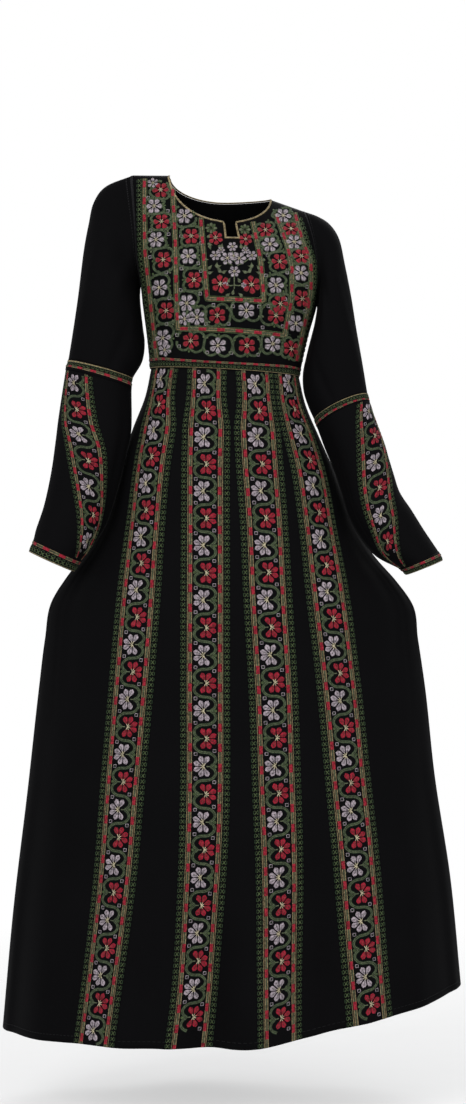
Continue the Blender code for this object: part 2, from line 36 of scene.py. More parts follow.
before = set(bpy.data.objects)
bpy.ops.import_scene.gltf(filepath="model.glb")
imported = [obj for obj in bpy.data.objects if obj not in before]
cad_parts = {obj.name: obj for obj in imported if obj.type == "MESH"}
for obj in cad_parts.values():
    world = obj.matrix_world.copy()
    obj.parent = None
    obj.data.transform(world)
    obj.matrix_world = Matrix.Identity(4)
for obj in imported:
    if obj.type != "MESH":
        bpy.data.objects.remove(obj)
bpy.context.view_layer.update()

MM = 0.001

# Waist seam and hem, as the solids have them
WAIST = -0.302
WAIST_TILT = -0.055
HEM_LIFT = 0.070
HEM_CURVE = 1.3

# Width of a skirt strip, and the gap between the front and the back panels at the side seams
SKIRT_BAND = 0.079
GAP = 0.0003

# Skirt by height: its side edges, its depth to the front and to the back, and how pointed its
# sides are
SKIRT_COLUMNS = ("height", "right", "left", "front", "back", "point")
SKIRT = (
    (-0.302, -0.128, 0.112, 0.100, 0.096, 1.00),
    (-0.345, -0.137, 0.122, 0.108, 0.106, 1.02),
    (-0.400, -0.158, 0.145, 0.118, 0.118, 1.05),
    (-0.450, -0.174, 0.167, 0.126, 0.130, 1.10),
    (-0.500, -0.188, 0.186, 0.134, 0.140, 1.18),
    (-0.550, -0.206, 0.205, 0.141, 0.148, 1.28),
    (-0.600, -0.234, 0.236, 0.148, 0.156, 1.40),
    (-0.640, -0.265, 0.270, 0.153, 0.162, 1.50),
    (-0.680, -0.290, 0.297, 0.158, 0.168, 1.56),
    (-0.740, -0.301, 0.306, 0.164, 0.175, 1.48),
    (-0.820, -0.311, 0.317, 0.171, 0.184, 1.38),
    (-0.980, -0.329, 0.333, 0.183, 0.198, 1.25),
    (-1.170, -0.352, 0.359, 0.198, 0.212, 1.15),
    (-1.367, -0.370, 0.376, 0.212, 0.226, 1.10),
)

# Middle lines of the four embroidered strips, as distances from the centre line
STRIP_COLUMNS = ("height", "strip_1", "strip_2", "strip_3", "strip_4")
STRIPS = (
    (-0.302, -0.106, -0.037, 0.040, 0.093),
    (-0.345, -0.112, -0.038, 0.043, 0.098),
    (-0.400, -0.118, -0.038, 0.045, 0.114),
    (-0.450, -0.126, -0.039, 0.048, 0.127),
    (-0.550, -0.136, -0.039, 0.055, 0.142),
    (-0.660, -0.145, -0.039, 0.060, 0.156),
    (-0.800, -0.156, -0.039, 0.068, 0.172),
    (-0.980, -0.171, -0.039, 0.074, 0.189),
    (-1.070, -0.178, -0.041, 0.077, 0.198),
    (-1.280, -0.202, -0.055, 0.078, 0.215),
    (-1.367, -0.213, -0.064, 0.079, 0.222),
)

# Folds, each a row of start, peak, end, place at the top, place at the bottom, width and depth.
# The first three are shares of the way down, the places and the width shares of the way across.
FRONT_FOLDS = (
    (0.38, 1.00, 1.50, 0.120, 0.105, 0.034, -0.016),
    (0.30, 1.00, 1.50, 0.200, 0.190, 0.040, 0.012),
    (0.42, 1.00, 1.60, 0.360, 0.345, 0.034, 0.014),
    (0.55, 1.00, 1.60, 0.440, 0.470, 0.030, -0.026),
    (0.50, 1.00, 1.60, 0.520, 0.535, 0.034, 0.020),
    (0.40, 1.00, 1.50, 0.660, 0.640, 0.036, -0.018),
    (0.45, 1.00, 1.60, 0.800, 0.800, 0.034, 0.014),
    (0.36, 1.00, 1.50, 0.880, 0.890, 0.030, -0.014),
    (0.20, 0.34, 0.62, 0.130, 0.200, 0.030, -0.007),
    (0.20, 0.34, 0.66, 0.880, 0.800, 0.030, -0.007),
)
BACK_FOLDS = (
    (0.30, 1.00, 1.50, 0.140, 0.120, 0.040, -0.016),
    (0.36, 1.00, 1.50, 0.250, 0.230, 0.042, 0.018),
    (0.28, 1.00, 1.50, 0.360, 0.350, 0.038, -0.020),
    (0.40, 1.00, 1.60, 0.470, 0.460, 0.044, 0.022),
    (0.32, 1.00, 1.50, 0.590, 0.600, 0.038, -0.021),
    (0.38, 1.00, 1.60, 0.710, 0.730, 0.042, 0.017),
    (0.30, 1.00, 1.50, 0.840, 0.860, 0.040, -0.015),
)

# Finer creases, placed over the folds above
FRONT_CREASES = (
    (0.05, 0.30, 0.60, 0.030, 0.055, 0.014, -0.0035),
    (0.12, 0.36, 0.58, 0.085, 0.150, 0.012, -0.0030),
    (0.10, 0.33, 0.52, 0.965, 0.930, 0.014, -0.0035),
    (0.16, 0.38, 0.64, 0.915, 0.845, 0.012, -0.0028),
    (0.34, 0.42, 0.80, 0.020, 0.060, 0.016, -0.0040),
    (0.34, 0.41, 0.74, 0.980, 0.945, 0.016, -0.0040),
    (0.60, 0.90, 1.30, 0.290, 0.275, 0.014, -0.0040),
    (0.66, 0.95, 1.30, 0.405, 0.412, 0.012, 0.0035),
    (0.58, 0.92, 1.30, 0.585, 0.590, 0.015, -0.0045),
    (0.70, 0.96, 1.30, 0.700, 0.695, 0.013, 0.0035),
    (0.62, 0.93, 1.30, 0.945, 0.950, 0.014, -0.0045),
    (0.64, 0.94, 1.30, 0.050, 0.045, 0.014, -0.0045),
)
BACK_CREASES = (
    (0.05, 0.32, 0.60, 0.060, 0.090, 0.014, -0.0035),
    (0.14, 0.40, 0.66, 0.190, 0.200, 0.013, -0.0035),
    (0.10, 0.35, 0.55, 0.930, 0.900, 0.014, -0.0035),
    (0.05, 0.26, 0.60, 0.420, 0.410, 0.013, 0.0030),
    (0.08, 0.30, 0.66, 0.560, 0.575, 0.012, 0.0030),
    (0.55, 0.90, 1.30, 0.300, 0.295, 0.014, -0.0050),
    (0.60, 0.93, 1.30, 0.530, 0.535, 0.014, -0.0045),
    (0.58, 0.90, 1.30, 0.660, 0.668, 0.013, 0.0040),
    (0.52, 0.88, 1.30, 0.780, 0.800, 0.015, -0.0045),
    (0.62, 0.94, 1.30, 0.930, 0.945, 0.014, -0.0040),
    (0.62, 0.94, 1.30, 0.060, 0.050, 0.014, -0.0040),
)

# Bodice by height: its side edges, its depth to the front and to the back, and its roundness
BODY_COLUMNS = ("height", "right", "left", "front", "back", "round")
BODY = (
    (-0.310, -0.128, 0.112, 0.100, 0.096, 2.0),
    (-0.250, -0.134, 0.125, 0.107, 0.098, 2.1),
    (-0.190, -0.142, 0.142, 0.124, 0.102, 2.2),
    (-0.158, -0.146, 0.149, 0.126, 0.104, 2.3),
    (-0.120, -0.157, 0.153, 0.122, 0.106, 2.4),
    (-0.060, -0.166, 0.147, 0.116, 0.106, 2.5),
    (0.030, -0.168, 0.140, 0.112, 0.104, 2.5),
)

# Armhole edges of the bodice from the underarm to the shoulder point
ARMHOLE_COLUMNS = ("height", "across")
ARMHOLE_RIGHT = (
    (-0.158, -0.146),
    (-0.120, -0.1505),
    (-0.064, -0.152),
    (-0.020, -0.155),
    (0.021, -0.158),
)
ARMHOLE_LEFT = (
    (-0.190, 0.142),
    (-0.150, 0.1415),
    (-0.110, 0.138),
    (-0.075, 0.131),
    (-0.055, 0.125),
    (-0.0375, 0.119),
)

# Shoulder seam line
SEAM_COLUMNS = ("across", "height")
SEAM = (
    (-0.170, 0.0212),
    (-0.158, 0.0210),
    (-0.101, 0.0205),
    (0.0685, -0.0196),
    (0.119, -0.0375),
    (0.150, -0.0485),
)

# Neckline: where it meets the shoulder seams, its lowest points, and half of its notch's width
NECK_RIGHT = 0.101
NECK_LEFT = 0.0685
NECK_FRONT = -0.064
NECK_BACK = -0.022
NOTCH_HALF = 0.0115

# Front and back: the height from which the depth closes to the shoulder seam, and the curve's power
FRONT_ROUND = (-0.170, 1.35)
BACK_ROUND = (-0.120, 1.35)

# Places across a bodice panel: edge, neck, notch, notch, neck, edge. Then shares of its height at
# which both side seams have their rows, and the rows of the armhole above them.
BODICE_MARKS = (0.0, 0.20, 0.455, 0.545, 0.80, 1.0)
BODICE_LOW = (0.0, 0.054, 0.19, 0.31)
ARMHOLE_KNOTS = 11
ARMHOLE_BLEND = 0.004

# Sleeves from armhole to cuff: outer and inner edge, half depth, how far forward the middle lies,
# how much higher the front is, and the turn and width of each strip
SLEEVE_COLUMNS = ("out_x", "out_z", "in_x", "in_z", "depth", "middle", "rise",
                  "front_turn", "front_width", "side_turn", "side_width")
SLEEVE_RIGHT = (
    (-0.158, 0.021, -0.146, -0.158, 0.055, 0.000, 0.000, 0.365, 0.058, 0.60, 0.052),
    (-0.202, 0.003, -0.147, -0.178, 0.058, 0.000, 0.000, 0.365, 0.058, 0.60, 0.052),
    (-0.222, -0.024, -0.145, -0.203, 0.060, -0.003, 0.000, 0.365, 0.058, 0.60, 0.052),
    (-0.230, -0.060, -0.142, -0.228, 0.059, -0.008, 0.000, 0.365, 0.058, 0.60, 0.052),
    (-0.238, -0.106, -0.139, -0.255, 0.056, -0.013, 0.000, 0.365, 0.058, 0.60, 0.052),
    (-0.248, -0.189, -0.143, -0.284, 0.052, -0.019, 0.000, 0.365, 0.058, 0.60, 0.052),
    (-0.262, -0.282, -0.158, -0.311, 0.048, -0.024, 0.002, 0.365, 0.058, 0.60, 0.052),
    (-0.266, -0.298, -0.160, -0.329, 0.048, -0.026, 0.002, 0.365, 0.060, 0.60, 0.052),
    (-0.277, -0.373, -0.160, -0.396, 0.050, -0.034, 0.002, 0.328, 0.068, 0.60, 0.054),
    (-0.282, -0.416, -0.169, -0.440, 0.051, -0.041, 0.001, 0.270, 0.070, 0.59, 0.054),
    (-0.289, -0.466, -0.182, -0.495, 0.051, -0.047, 0.000, 0.215, 0.062, 0.58, 0.052),
    (-0.300, -0.517, -0.200, -0.549, 0.051, -0.052, 0.000, 0.150, 0.054, 0.57, 0.050),
    (-0.313, -0.557, -0.224, -0.587, 0.051, -0.057, 0.000, 0.090, 0.044, 0.56, 0.046),
    (-0.316, -0.572, -0.240, -0.606, 0.051, -0.059, 0.000, 0.055, 0.034, 0.56, 0.042),
    (-0.323, -0.592, -0.252, -0.624, 0.051, -0.061, 0.000, 0.055, 0.034, 0.56, 0.042),
)
SLEEVE_LEFT = (
    (0.119, -0.0375, 0.142, -0.190, 0.055, 0.000, 0.000, 0.430, 0.062, 0.68, 0.052),
    (0.143, -0.046, 0.143, -0.206, 0.058, 0.000, 0.000, 0.430, 0.062, 0.68, 0.052),
    (0.163, -0.060, 0.138, -0.224, 0.059, -0.004, 0.000, 0.430, 0.062, 0.68, 0.052),
    (0.178, -0.085, 0.132, -0.246, 0.059, -0.010, 0.000, 0.430, 0.062, 0.68, 0.052),
    (0.187, -0.127, 0.125, -0.274, 0.057, -0.016, 0.000, 0.430, 0.062, 0.68, 0.052),
    (0.197, -0.179, 0.119, -0.303, 0.054, -0.020, 0.000, 0.430, 0.062, 0.68, 0.052),
    (0.205, -0.231, 0.120, -0.332, 0.051, -0.024, 0.002, 0.430, 0.062, 0.68, 0.052),
    (0.215, -0.289, 0.128, -0.358, 0.049, -0.027, 0.006, 0.430, 0.062, 0.68, 0.052),
    (0.223, -0.339, 0.137, -0.378, 0.048, -0.030, 0.010, 0.430, 0.062, 0.68, 0.052),
    (0.226, -0.352, 0.142, -0.391, 0.048, -0.031, 0.010, 0.430, 0.062, 0.68, 0.052),
    (0.233, -0.375, 0.153, -0.422, 0.049, -0.035, 0.008, 0.395, 0.068, 0.68, 0.052),
    (0.251, -0.424, 0.168, -0.460, 0.050, -0.041, 0.005, 0.345, 0.074, 0.68, 0.052),
    (0.264, -0.466, 0.181, -0.500, 0.051, -0.046, 0.002, 0.300, 0.072, 0.68, 0.052),
    (0.274, -0.496, 0.192, -0.536, 0.051, -0.051, 0.000, 0.270, 0.064, 0.68, 0.050),
    (0.293, -0.525, 0.211, -0.570, 0.051, -0.055, 0.000, 0.225, 0.054, 0.68, 0.048),
    (0.313, -0.557, 0.238, -0.600, 0.051, -0.058, 0.000, 0.155, 0.044, 0.68, 0.046),
    (0.336, -0.592, 0.274, -0.619, 0.051, -0.060, 0.000, 0.065, 0.032, 0.68, 0.042),
    (0.342, -0.606, 0.285, -0.629, 0.051, -0.061, 0.000, 0.065, 0.032, 0.68, 0.042),
)

# Row of the elbow, rows over which the armhole's shape fades, and the turn where the grids start
ELBOW_ROW = {"right": 6, "left": 8}
ARMHOLE_FADE = 3.0
BACK_TURN = -0.12

# Sleeve creases: across is the turn round the sleeve, down runs to the elbow or on to the cuff
UPPER_CREASES = (
    (0.00, 0.30, 0.85, 0.080, 0.240, 0.030, -0.0040),
    (0.02, 0.34, 0.90, 0.170, 0.330, 0.026, -0.0035),
    (0.10, 0.42, 0.80, 0.020, 0.110, 0.028, -0.0035),
    (0.30, 0.60, 1.10, 0.300, 0.420, 0.030, 0.0030),
    (0.00, 0.30, 0.85, 0.920, 0.760, 0.030, -0.0040),
    (0.04, 0.40, 0.90, 0.820, 0.660, 0.026, -0.0035),
    (0.50, 0.82, 1.20, 0.140, 0.200, 0.024, -0.0030),
)
LOWER_CREASES = (
    (0.02, 0.40, 1.10, 0.100, 0.060, 0.030, -0.0035),
    (0.05, 0.55, 1.20, 0.560, 0.480, 0.026, -0.0035),
    (0.10, 0.60, 1.20, 0.820, 0.860, 0.032, -0.0040),
    (0.20, 0.70, 1.30, 0.930, 0.960, 0.026, 0.0035),
)
BODICE_CREASES = (
    (0.30, 0.62, 0.95, 0.060, 0.130, 0.020, -0.0022),
    (0.30, 0.60, 0.95, 0.940, 0.860, 0.020, -0.0022),
)

# Points of a section along which the strips' edges are measured
DENSE = 241


def column(rows, names, name):
    """One named column of a table."""
    place = names.index(name)
    return np.array([row[place] for row in rows])


def curve(at, knots, values):
    """Smooth line through values at rising knots: cubic pieces with the mean slope at each knot."""
    slopes = np.gradient(values, knots)
    at = np.clip(at, knots[0], knots[-1])
    left = np.clip(np.searchsorted(knots, at, side="right") - 1, 0, len(knots) - 2)
    step = knots[left + 1] - knots[left]
    t = (at - knots[left]) / step
    start = (1 + 2 * t) * (1 - t) ** 2 * values[left] + t * (1 - t) ** 2 * step * slopes[left]
    end = t * t * (3 - 2 * t) * values[left + 1] + t * t * (t - 1) * step * slopes[left + 1]
    return start + end


def read(rows, names, key, name, at):
    """A named column as a smooth function of the key column, which may rise or fall."""
    knots = column(rows, names, key)
    values = column(rows, names, name)
    order = np.argsort(knots)
    return curve(at, knots[order], values[order])


def unit(vectors):
    """Vectors at length 1."""
    return vectors / np.maximum(np.linalg.norm(vectors, axis=-1, keepdims=True), 1e-12)


def stack(x, y, z):
    """Points from their three coordinates."""
    return np.stack(np.broadcast_arrays(x, y, z), axis=-1)


def run_length(points, axis=0):
    """Length from 0 along a line of points, or along each line of a grid on one axis."""
    steps = np.linalg.norm(np.diff(points, axis=axis), axis=-1)
    start = np.zeros_like(np.take(steps, [0], axis=axis))
    return np.cumsum(np.concatenate([start, steps], axis=axis), axis=axis)


def normals(grid, closed=False):
    """Outward directions of a grid: the slope down its columns crossed with that along its rows."""
    down = np.gradient(grid, axis=0)
    along = np.roll(grid, -1, 1) - np.roll(grid, 1, 1) if closed else np.gradient(grid, axis=1)
    return unit(np.cross(down, along))


def folds(table, across, down):
    """Height of all folds: each is a bell across its line, swelling to its peak and ending."""
    height = np.zeros(np.broadcast(across, down).shape)
    for start, peak, end, top, bottom, width, depth in table:
        line = top + (bottom - top) * np.clip((down - start) / (min(end, 1.0) - start), 0, 1)
        grow = np.clip((down - start) / (peak - start), 0, 1)
        fade = np.clip((end - down) / (end - peak), 0, 1)
        swell = (grow * grow * (3 - 2 * grow)) * (fade * fade * (3 - 2 * fade))
        height = height + depth * swell * np.exp(-((across - line) / width) ** 2)
    return height


def tube_folds(table, turn, down):
    """Creases of a tube: the bells of folds, also a turn on and back, to run on over its seam."""
    return folds(table, turn, down) + folds(table, turn + 1, down) + folds(table, turn - 1, down)


def skirt_point(across, down, side):
    """Skirt surface. across runs 0 to 1 between the side seams, down runs from waist to hem.

    A section is half an ellipse whose ends are drawn out to a point where the sides are held.
    Folds and creases are added to its depth. The hem rises towards the wearer's left.
    """
    heights = column(SKIRT, SKIRT_COLUMNS, "height")
    level = heights[0] + (heights[-1] - heights[0]) * down
    size = {name: read(SKIRT, SKIRT_COLUMNS, "height", name, level) for name in SKIRT_COLUMNS[1:]}
    middle = (size["right"] + size["left"]) / 2
    half = (size["left"] - size["right"]) / 2
    x = middle - half * np.cos(np.pi * across)
    front = side == "front"
    depth = size["front"] if front else size["back"]
    main, fine = (FRONT_FOLDS, FRONT_CREASES) if front else (BACK_FOLDS, BACK_CREASES)
    arch = np.sin(np.pi * np.clip(across, 0, 1))
    creased = folds(main, across, down) + folds(fine, across, down)
    y = depth * arch ** size["point"] + creased * arch ** 0.5
    lift = HEM_LIFT * down ** 2 * np.clip(x / size["left"], 0, 1) ** HEM_CURVE
    z = level + WAIST_TILT * x * (1 - down) ** 2 + lift
    return stack(x, (-1 if front else 1) * (y + GAP / 2), z)


def strip_edges(down, number):
    """Both edges of one embroidered strip, as places across the front skirt in each row.

    A strip keeps its width along the cloth, but for the waist, where neighbours would overlap.
    """
    heights = column(SKIRT, SKIRT_COLUMNS, "height")
    level = heights[0] + (heights[-1] - heights[0]) * down
    right = read(SKIRT, SKIRT_COLUMNS, "height", "right", level)
    left = read(SKIRT, SKIRT_COLUMNS, "height", "left", level)
    dense = np.linspace(0, 1, DENSE)
    run = skirt_point(dense[None, :], down[:, None], "front")
    length = run_length(run, 1)
    lines = np.stack([read(STRIPS, STRIP_COLUMNS, "height", name, level)
                      for name in STRIP_COLUMNS[1:]], axis=1)
    share = ((right + left)[:, None] / 2 - lines) / ((left - right)[:, None] / 2)
    places = np.arccos(share) / np.pi
    edges = []
    for row in range(len(down)):
        along = np.interp(places[row], dense, length[row])
        half = min(SKIRT_BAND, np.diff(along).min() - 4 * GAP) / 2
        middle = along[number]
        edges.append(np.interp([middle - half, middle + half], length[row], dense))
    return np.array(edges)


def seam_height(x):
    """Height of the shoulder seam, or of the line across the neck between its ends."""
    return np.interp(x, column(SEAM, SEAM_COLUMNS, "across"), column(SEAM, SEAM_COLUMNS, "height"))


def body_depth(x, z, side):
    """How far the bodice lies from the side plane at a place seen from the front.

    The section is a rounded oval between the side seams, and above the chest it falls back to
    the shoulder seam in the same way.
    """
    size = {name: read(BODY, BODY_COLUMNS, "height", name, z) for name in BODY_COLUMNS[1:]}
    middle = (size["right"] + size["left"]) / 2
    half = (size["left"] - size["right"]) / 2
    share = np.clip(np.abs(x - middle) / half, 0, 1)
    section = np.clip(1 - share ** size["round"], 0, 1) ** (1 / size["round"])
    start, power = FRONT_ROUND if side == "front" else BACK_ROUND
    rise = np.clip((z - start) / (seam_height(x) - start), 0, 1)
    roof = np.clip(1 - rise ** power, 0, 1) ** (1 / power)
    return size[side] * section * roof


def armhole(table, share):
    """Place on an armhole edge, seen from the front, from the underarm (0) to the shoulder (1)."""
    heights = column(table, ARMHOLE_COLUMNS, "height")
    z = heights[0] + (heights[-1] - heights[0]) * share
    return read(table, ARMHOLE_COLUMNS, "height", "across", z), z


def neckline(share, low):
    """Points of the neckline: two quarter ellipses that meet on the centre line at height low."""
    angle = np.pi * share
    width = np.where(share < 0.5, NECK_RIGHT, NECK_LEFT)
    high = seam_height(np.where(share < 0.5, -NECK_RIGHT, NECK_LEFT))
    return -width * np.cos(angle), high - (high - low) * np.sin(angle)


def side_rows(table, name):
    """Heights of a bodice panel's side edge at the rows where its two sides are matched."""
    waist = WAIST + WAIST_TILT * read(BODY, BODY_COLUMNS, "height", name, WAIST)
    top = table[-1][0]
    turn = (1 - np.cos(np.linspace(0, np.pi, ARMHOLE_KNOTS))) / 2
    low = waist + (top - waist) * np.array(BODICE_LOW)
    return np.concatenate([low, armhole(table, turn)[1]])


def side_edge(table, name, rows):
    """Side edge of a bodice panel at shares of its height: the side seam, then the armhole."""
    knots = side_rows(ARMHOLE_RIGHT, "right")
    knots = (knots - knots[0]) / (knots[-1] - knots[0])
    z = np.interp(rows, knots, side_rows(table, name))
    seam = read(BODY, BODY_COLUMNS, "height", name, z)
    hole = read(table, ARMHOLE_COLUMNS, "height", "across", z)
    mix = np.clip((z - table[0][0]) / ARMHOLE_BLEND + 0.5, 0, 1)
    return seam * (1 - mix) + hole * mix, z


def top_edge(places, side):
    """Top edge of a bodice panel: shoulder seam, neckline with its notch's top, shoulder seam."""
    first, last = BODICE_MARKS[1], BODICE_MARKS[-2]
    low = NECK_FRONT if side == "front" else NECK_BACK
    right_x, left_x = ARMHOLE_RIGHT[-1][1], ARMHOLE_LEFT[-1][1]
    x, z = neckline((places - first) / (last - first), low)
    shoulder = right_x + (-NECK_RIGHT - right_x) * places / first
    other = left_x + (NECK_LEFT - left_x) * (1 - places) / (1 - last)
    x = np.where(places <= first, shoulder, np.where(places >= last, other, x))
    z = np.where((places <= first) | (places >= last), seam_height(x), z)
    if side == "front":
        start, end = BODICE_MARKS[2], BODICE_MARKS[3]
        inside = (places >= start - GAP) & (places <= end + GAP)
        x = np.where(inside, NOTCH_HALF * (2 * (places - start) / (end - start) - 1), x)
        z = np.where(inside, low, z)
    return x, z


def bodice_point(places, rows, side):
    """Bodice panel between its four edges seen from the front, then given its depth.

    Both rulings between opposite edges are added, less the one through the corners.
    """
    right_x, right_z = side_edge(ARMHOLE_RIGHT, "right", rows)
    left_x, left_z = side_edge(ARMHOLE_LEFT, "left", rows)
    waist_right = read(BODY, BODY_COLUMNS, "height", "right", WAIST)
    waist_left = read(BODY, BODY_COLUMNS, "height", "left", WAIST)
    half = (waist_left - waist_right) / 2
    low_x = (waist_right + waist_left) / 2 - half * np.cos(np.pi * places)
    low_z = WAIST + WAIST_TILT * low_x
    top_x, top_z = top_edge(places, side)
    c = places[None, :]
    v = rows[:, None]
    x = blend_edges(right_x, left_x, low_x, top_x, c, v)
    z = blend_edges(right_z, left_z, low_z, top_z, c, v)
    y = body_depth(x, z, side) + GAP / 2
    y = y + folds(BODICE_CREASES, c, 1 - v) * np.sin(np.pi * c) ** 0.5
    return stack(x, -y if side == "front" else y, z)


def blend_edges(start, end, low, top, c, v):
    """A surface through four edges: both rulings added, less the one through the corners."""
    sides = (1 - c) * start[:, None] + c * end[:, None]
    ends = (1 - v) * low[None, :] + v * top[None, :]
    corners = ((1 - c) * (1 - v) * low[0] + c * (1 - v) * low[-1]
               + (1 - c) * v * top[0] + c * v * top[-1])
    return sides + ends - corners


def notch_row():
    """Share of the panel's height at which the neck notch ends."""
    knots = side_rows(ARMHOLE_RIGHT, "right")
    return (knots[-4] - knots[0]) / (knots[-1] - knots[0])


def sleeve_point(word, rows, turns):
    """Sleeve surface: tilted ellipses, which take the form of the armhole near the shoulder.

    rows counts along the sleeve's table, turns runs from the inner side (0) over the front (0.25)
    to the outer side (0.5). Creases are added square to the ellipse.
    """
    right = word == "right"
    table, arm = (SLEEVE_RIGHT, ARMHOLE_RIGHT) if right else (SLEEVE_LEFT, ARMHOLE_LEFT)
    knots = np.arange(len(table), dtype=float)
    size = {name: curve(rows, knots, column(table, SLEEVE_COLUMNS, name))[:, None]
            for name in SLEEVE_COLUMNS}
    angle = 2 * np.pi * turns
    swing = (1 - np.cos(angle)) / 2
    x = size["in_x"] + (size["out_x"] - size["in_x"]) * swing
    z = size["in_z"] + (size["out_z"] - size["in_z"]) * swing + size["rise"] * np.sin(angle)
    y = size["middle"] - size["depth"] * np.sin(angle)
    ring = stack(x, y, z)
    fade = np.clip(1 - rows / ARMHOLE_FADE, 0, 1)[:, None, None] ** 2
    share = np.broadcast_to(swing, x.shape)
    arm_x, arm_z = armhole(arm, share)
    front = np.broadcast_to(np.sin(angle) >= 0, x.shape)
    depth = np.where(front, -body_depth(arm_x, arm_z, "front"), body_depth(arm_x, arm_z, "back"))
    start_x = table[0][2] + (table[0][0] - table[0][2]) * share
    start_y = -table[0][4] * np.sin(np.broadcast_to(angle, x.shape))
    ring = ring + fade * (stack(arm_x, depth, arm_z) - stack(start_x, start_y, arm_z))
    elbow = ELBOW_ROW[word]
    lower = np.clip((rows[:, None] - elbow) / (len(table) - 1 - elbow), 0, 1)
    upper = np.clip(rows[:, None] / elbow, 0, 1)
    bump = np.where(rows[:, None] <= elbow, tube_folds(UPPER_CREASES, turns, upper),
                    tube_folds(LOWER_CREASES, turns, lower))
    middle = stack((size["in_x"] + size["out_x"]) / 2, size["middle"],
                   (size["in_z"] + size["out_z"]) / 2)
    return ring + bump[..., None] * unit(ring - middle)


def strip_turns(word, rows, strip):
    """Both edges of a sleeve's strip, as places round the sleeve in each row."""
    table = SLEEVE_RIGHT if word == "right" else SLEEVE_LEFT
    knots = np.arange(len(table), dtype=float)
    size = {name: curve(rows, knots, column(table, SLEEVE_COLUMNS, name))
            for name in SLEEVE_COLUMNS}
    half = np.hypot(size["out_x"] - size["in_x"], size["out_z"] - size["in_z"]) / 2
    girth = 2 * np.pi * np.sqrt((half ** 2 + size["depth"] ** 2) / 2)
    width = size[f"{strip}_width"] / girth
    turn = size[f"{strip}_turn"]
    return np.stack([turn - width / 2, turn + width / 2], axis=1)


# Colours of the crepe and of the threads, as linear red, green and blue
CLOTH = (0.0019, 0.0018, 0.0022)
RED = (0.290, 0.010, 0.026)
WHITE = (0.370, 0.310, 0.345)
SAGE = (0.108, 0.126, 0.070)
MOSS = (0.060, 0.088, 0.034)
GREEN = (0.022, 0.044, 0.018)
GOLD = (0.270, 0.210, 0.110)
CREAM = (0.500, 0.440, 0.290)

# Threads in millimetres: how high they start over their cloth, and a second one over the first
LOW = 0.75
OVER = 0.25

# Grid of a petal, and where along it it is widest
PETAL_COLUMNS = 5
PETAL_ROWS = 7
PETAL_FULL = 0.70

# Greatest slope that the chest's normals follow, and the half step in metres that it is read over
STEEP = 3
CHEST_STEP = 0.5 * MM


def strip_place(grid, half):
    """A way from chart places in millimetres to points on a strip's dense grid.

    s runs across from the middle line and is drawn to the strip's own width, t runs along it.
    Each point is read between the four grid points round it and lifted along the normal.
    """
    out = normals(grid)
    rows, cols = grid.shape[:2]
    length = run_length(grid[:, cols // 2]) / MM
    scale = half_width(grid) / half

    def place(s, t, lift):
        row = np.interp(np.asarray(t, float) * scale, length, np.arange(rows, dtype=float))
        col = np.clip((np.asarray(s, float) / half * 0.5 + 0.5) * (cols - 1), 0, cols - 1)
        row, col, lift = np.broadcast_arrays(row, col, lift)
        i = np.clip(row.astype(int), 0, rows - 2)
        j = np.clip(col.astype(int), 0, cols - 2)
        a = (row - i)[..., None]
        b = (col - j)[..., None]
        point = mixed(grid, i, j, a, b)
        return point + (lift * MM)[..., None] * unit(mixed(out, i, j, a, b))

    return place, length[-1] / scale


def half_width(grid):
    """Half of a grid's mean width in millimetres."""
    return np.linalg.norm(np.diff(grid, axis=1), axis=2).sum(axis=1).mean() / 2 / MM


def mixed(grid, i, j, a, b):
    """Value between four neighbours of a grid, by its shares a down the rows and b along them."""
    top = (1 - b) * grid[i, j] + b * grid[i, j + 1]
    low = (1 - b) * grid[i + 1, j] + b * grid[i + 1, j + 1]
    return (1 - a) * top + a * low


def chest_place(s, t, lift):
    """A point on the chest, s millimetres towards the wearer's left and t below the shoulders.

    The chest is a height over the plane seen from the front, and its slope gives the normal.
    """
    x, z, lift = np.broadcast_arrays(np.asarray(s, float) * MM, -np.asarray(t, float) * MM, lift)
    y = -body_depth(x, z, "front") - GAP / 2
    slopes = []
    for over, up in ((CHEST_STEP, 0.0), (0.0, CHEST_STEP)):
        rise = body_depth(x + over, z + up, "front") - body_depth(x - over, z - up, "front")
        slopes.append(np.clip(rise / (2 * CHEST_STEP), -STEEP, STEEP))
    out = unit(stack(-slopes[0], -np.ones_like(x), -slopes[1]))
    return stack(x, y, z) + (lift * MM)[..., None] * out


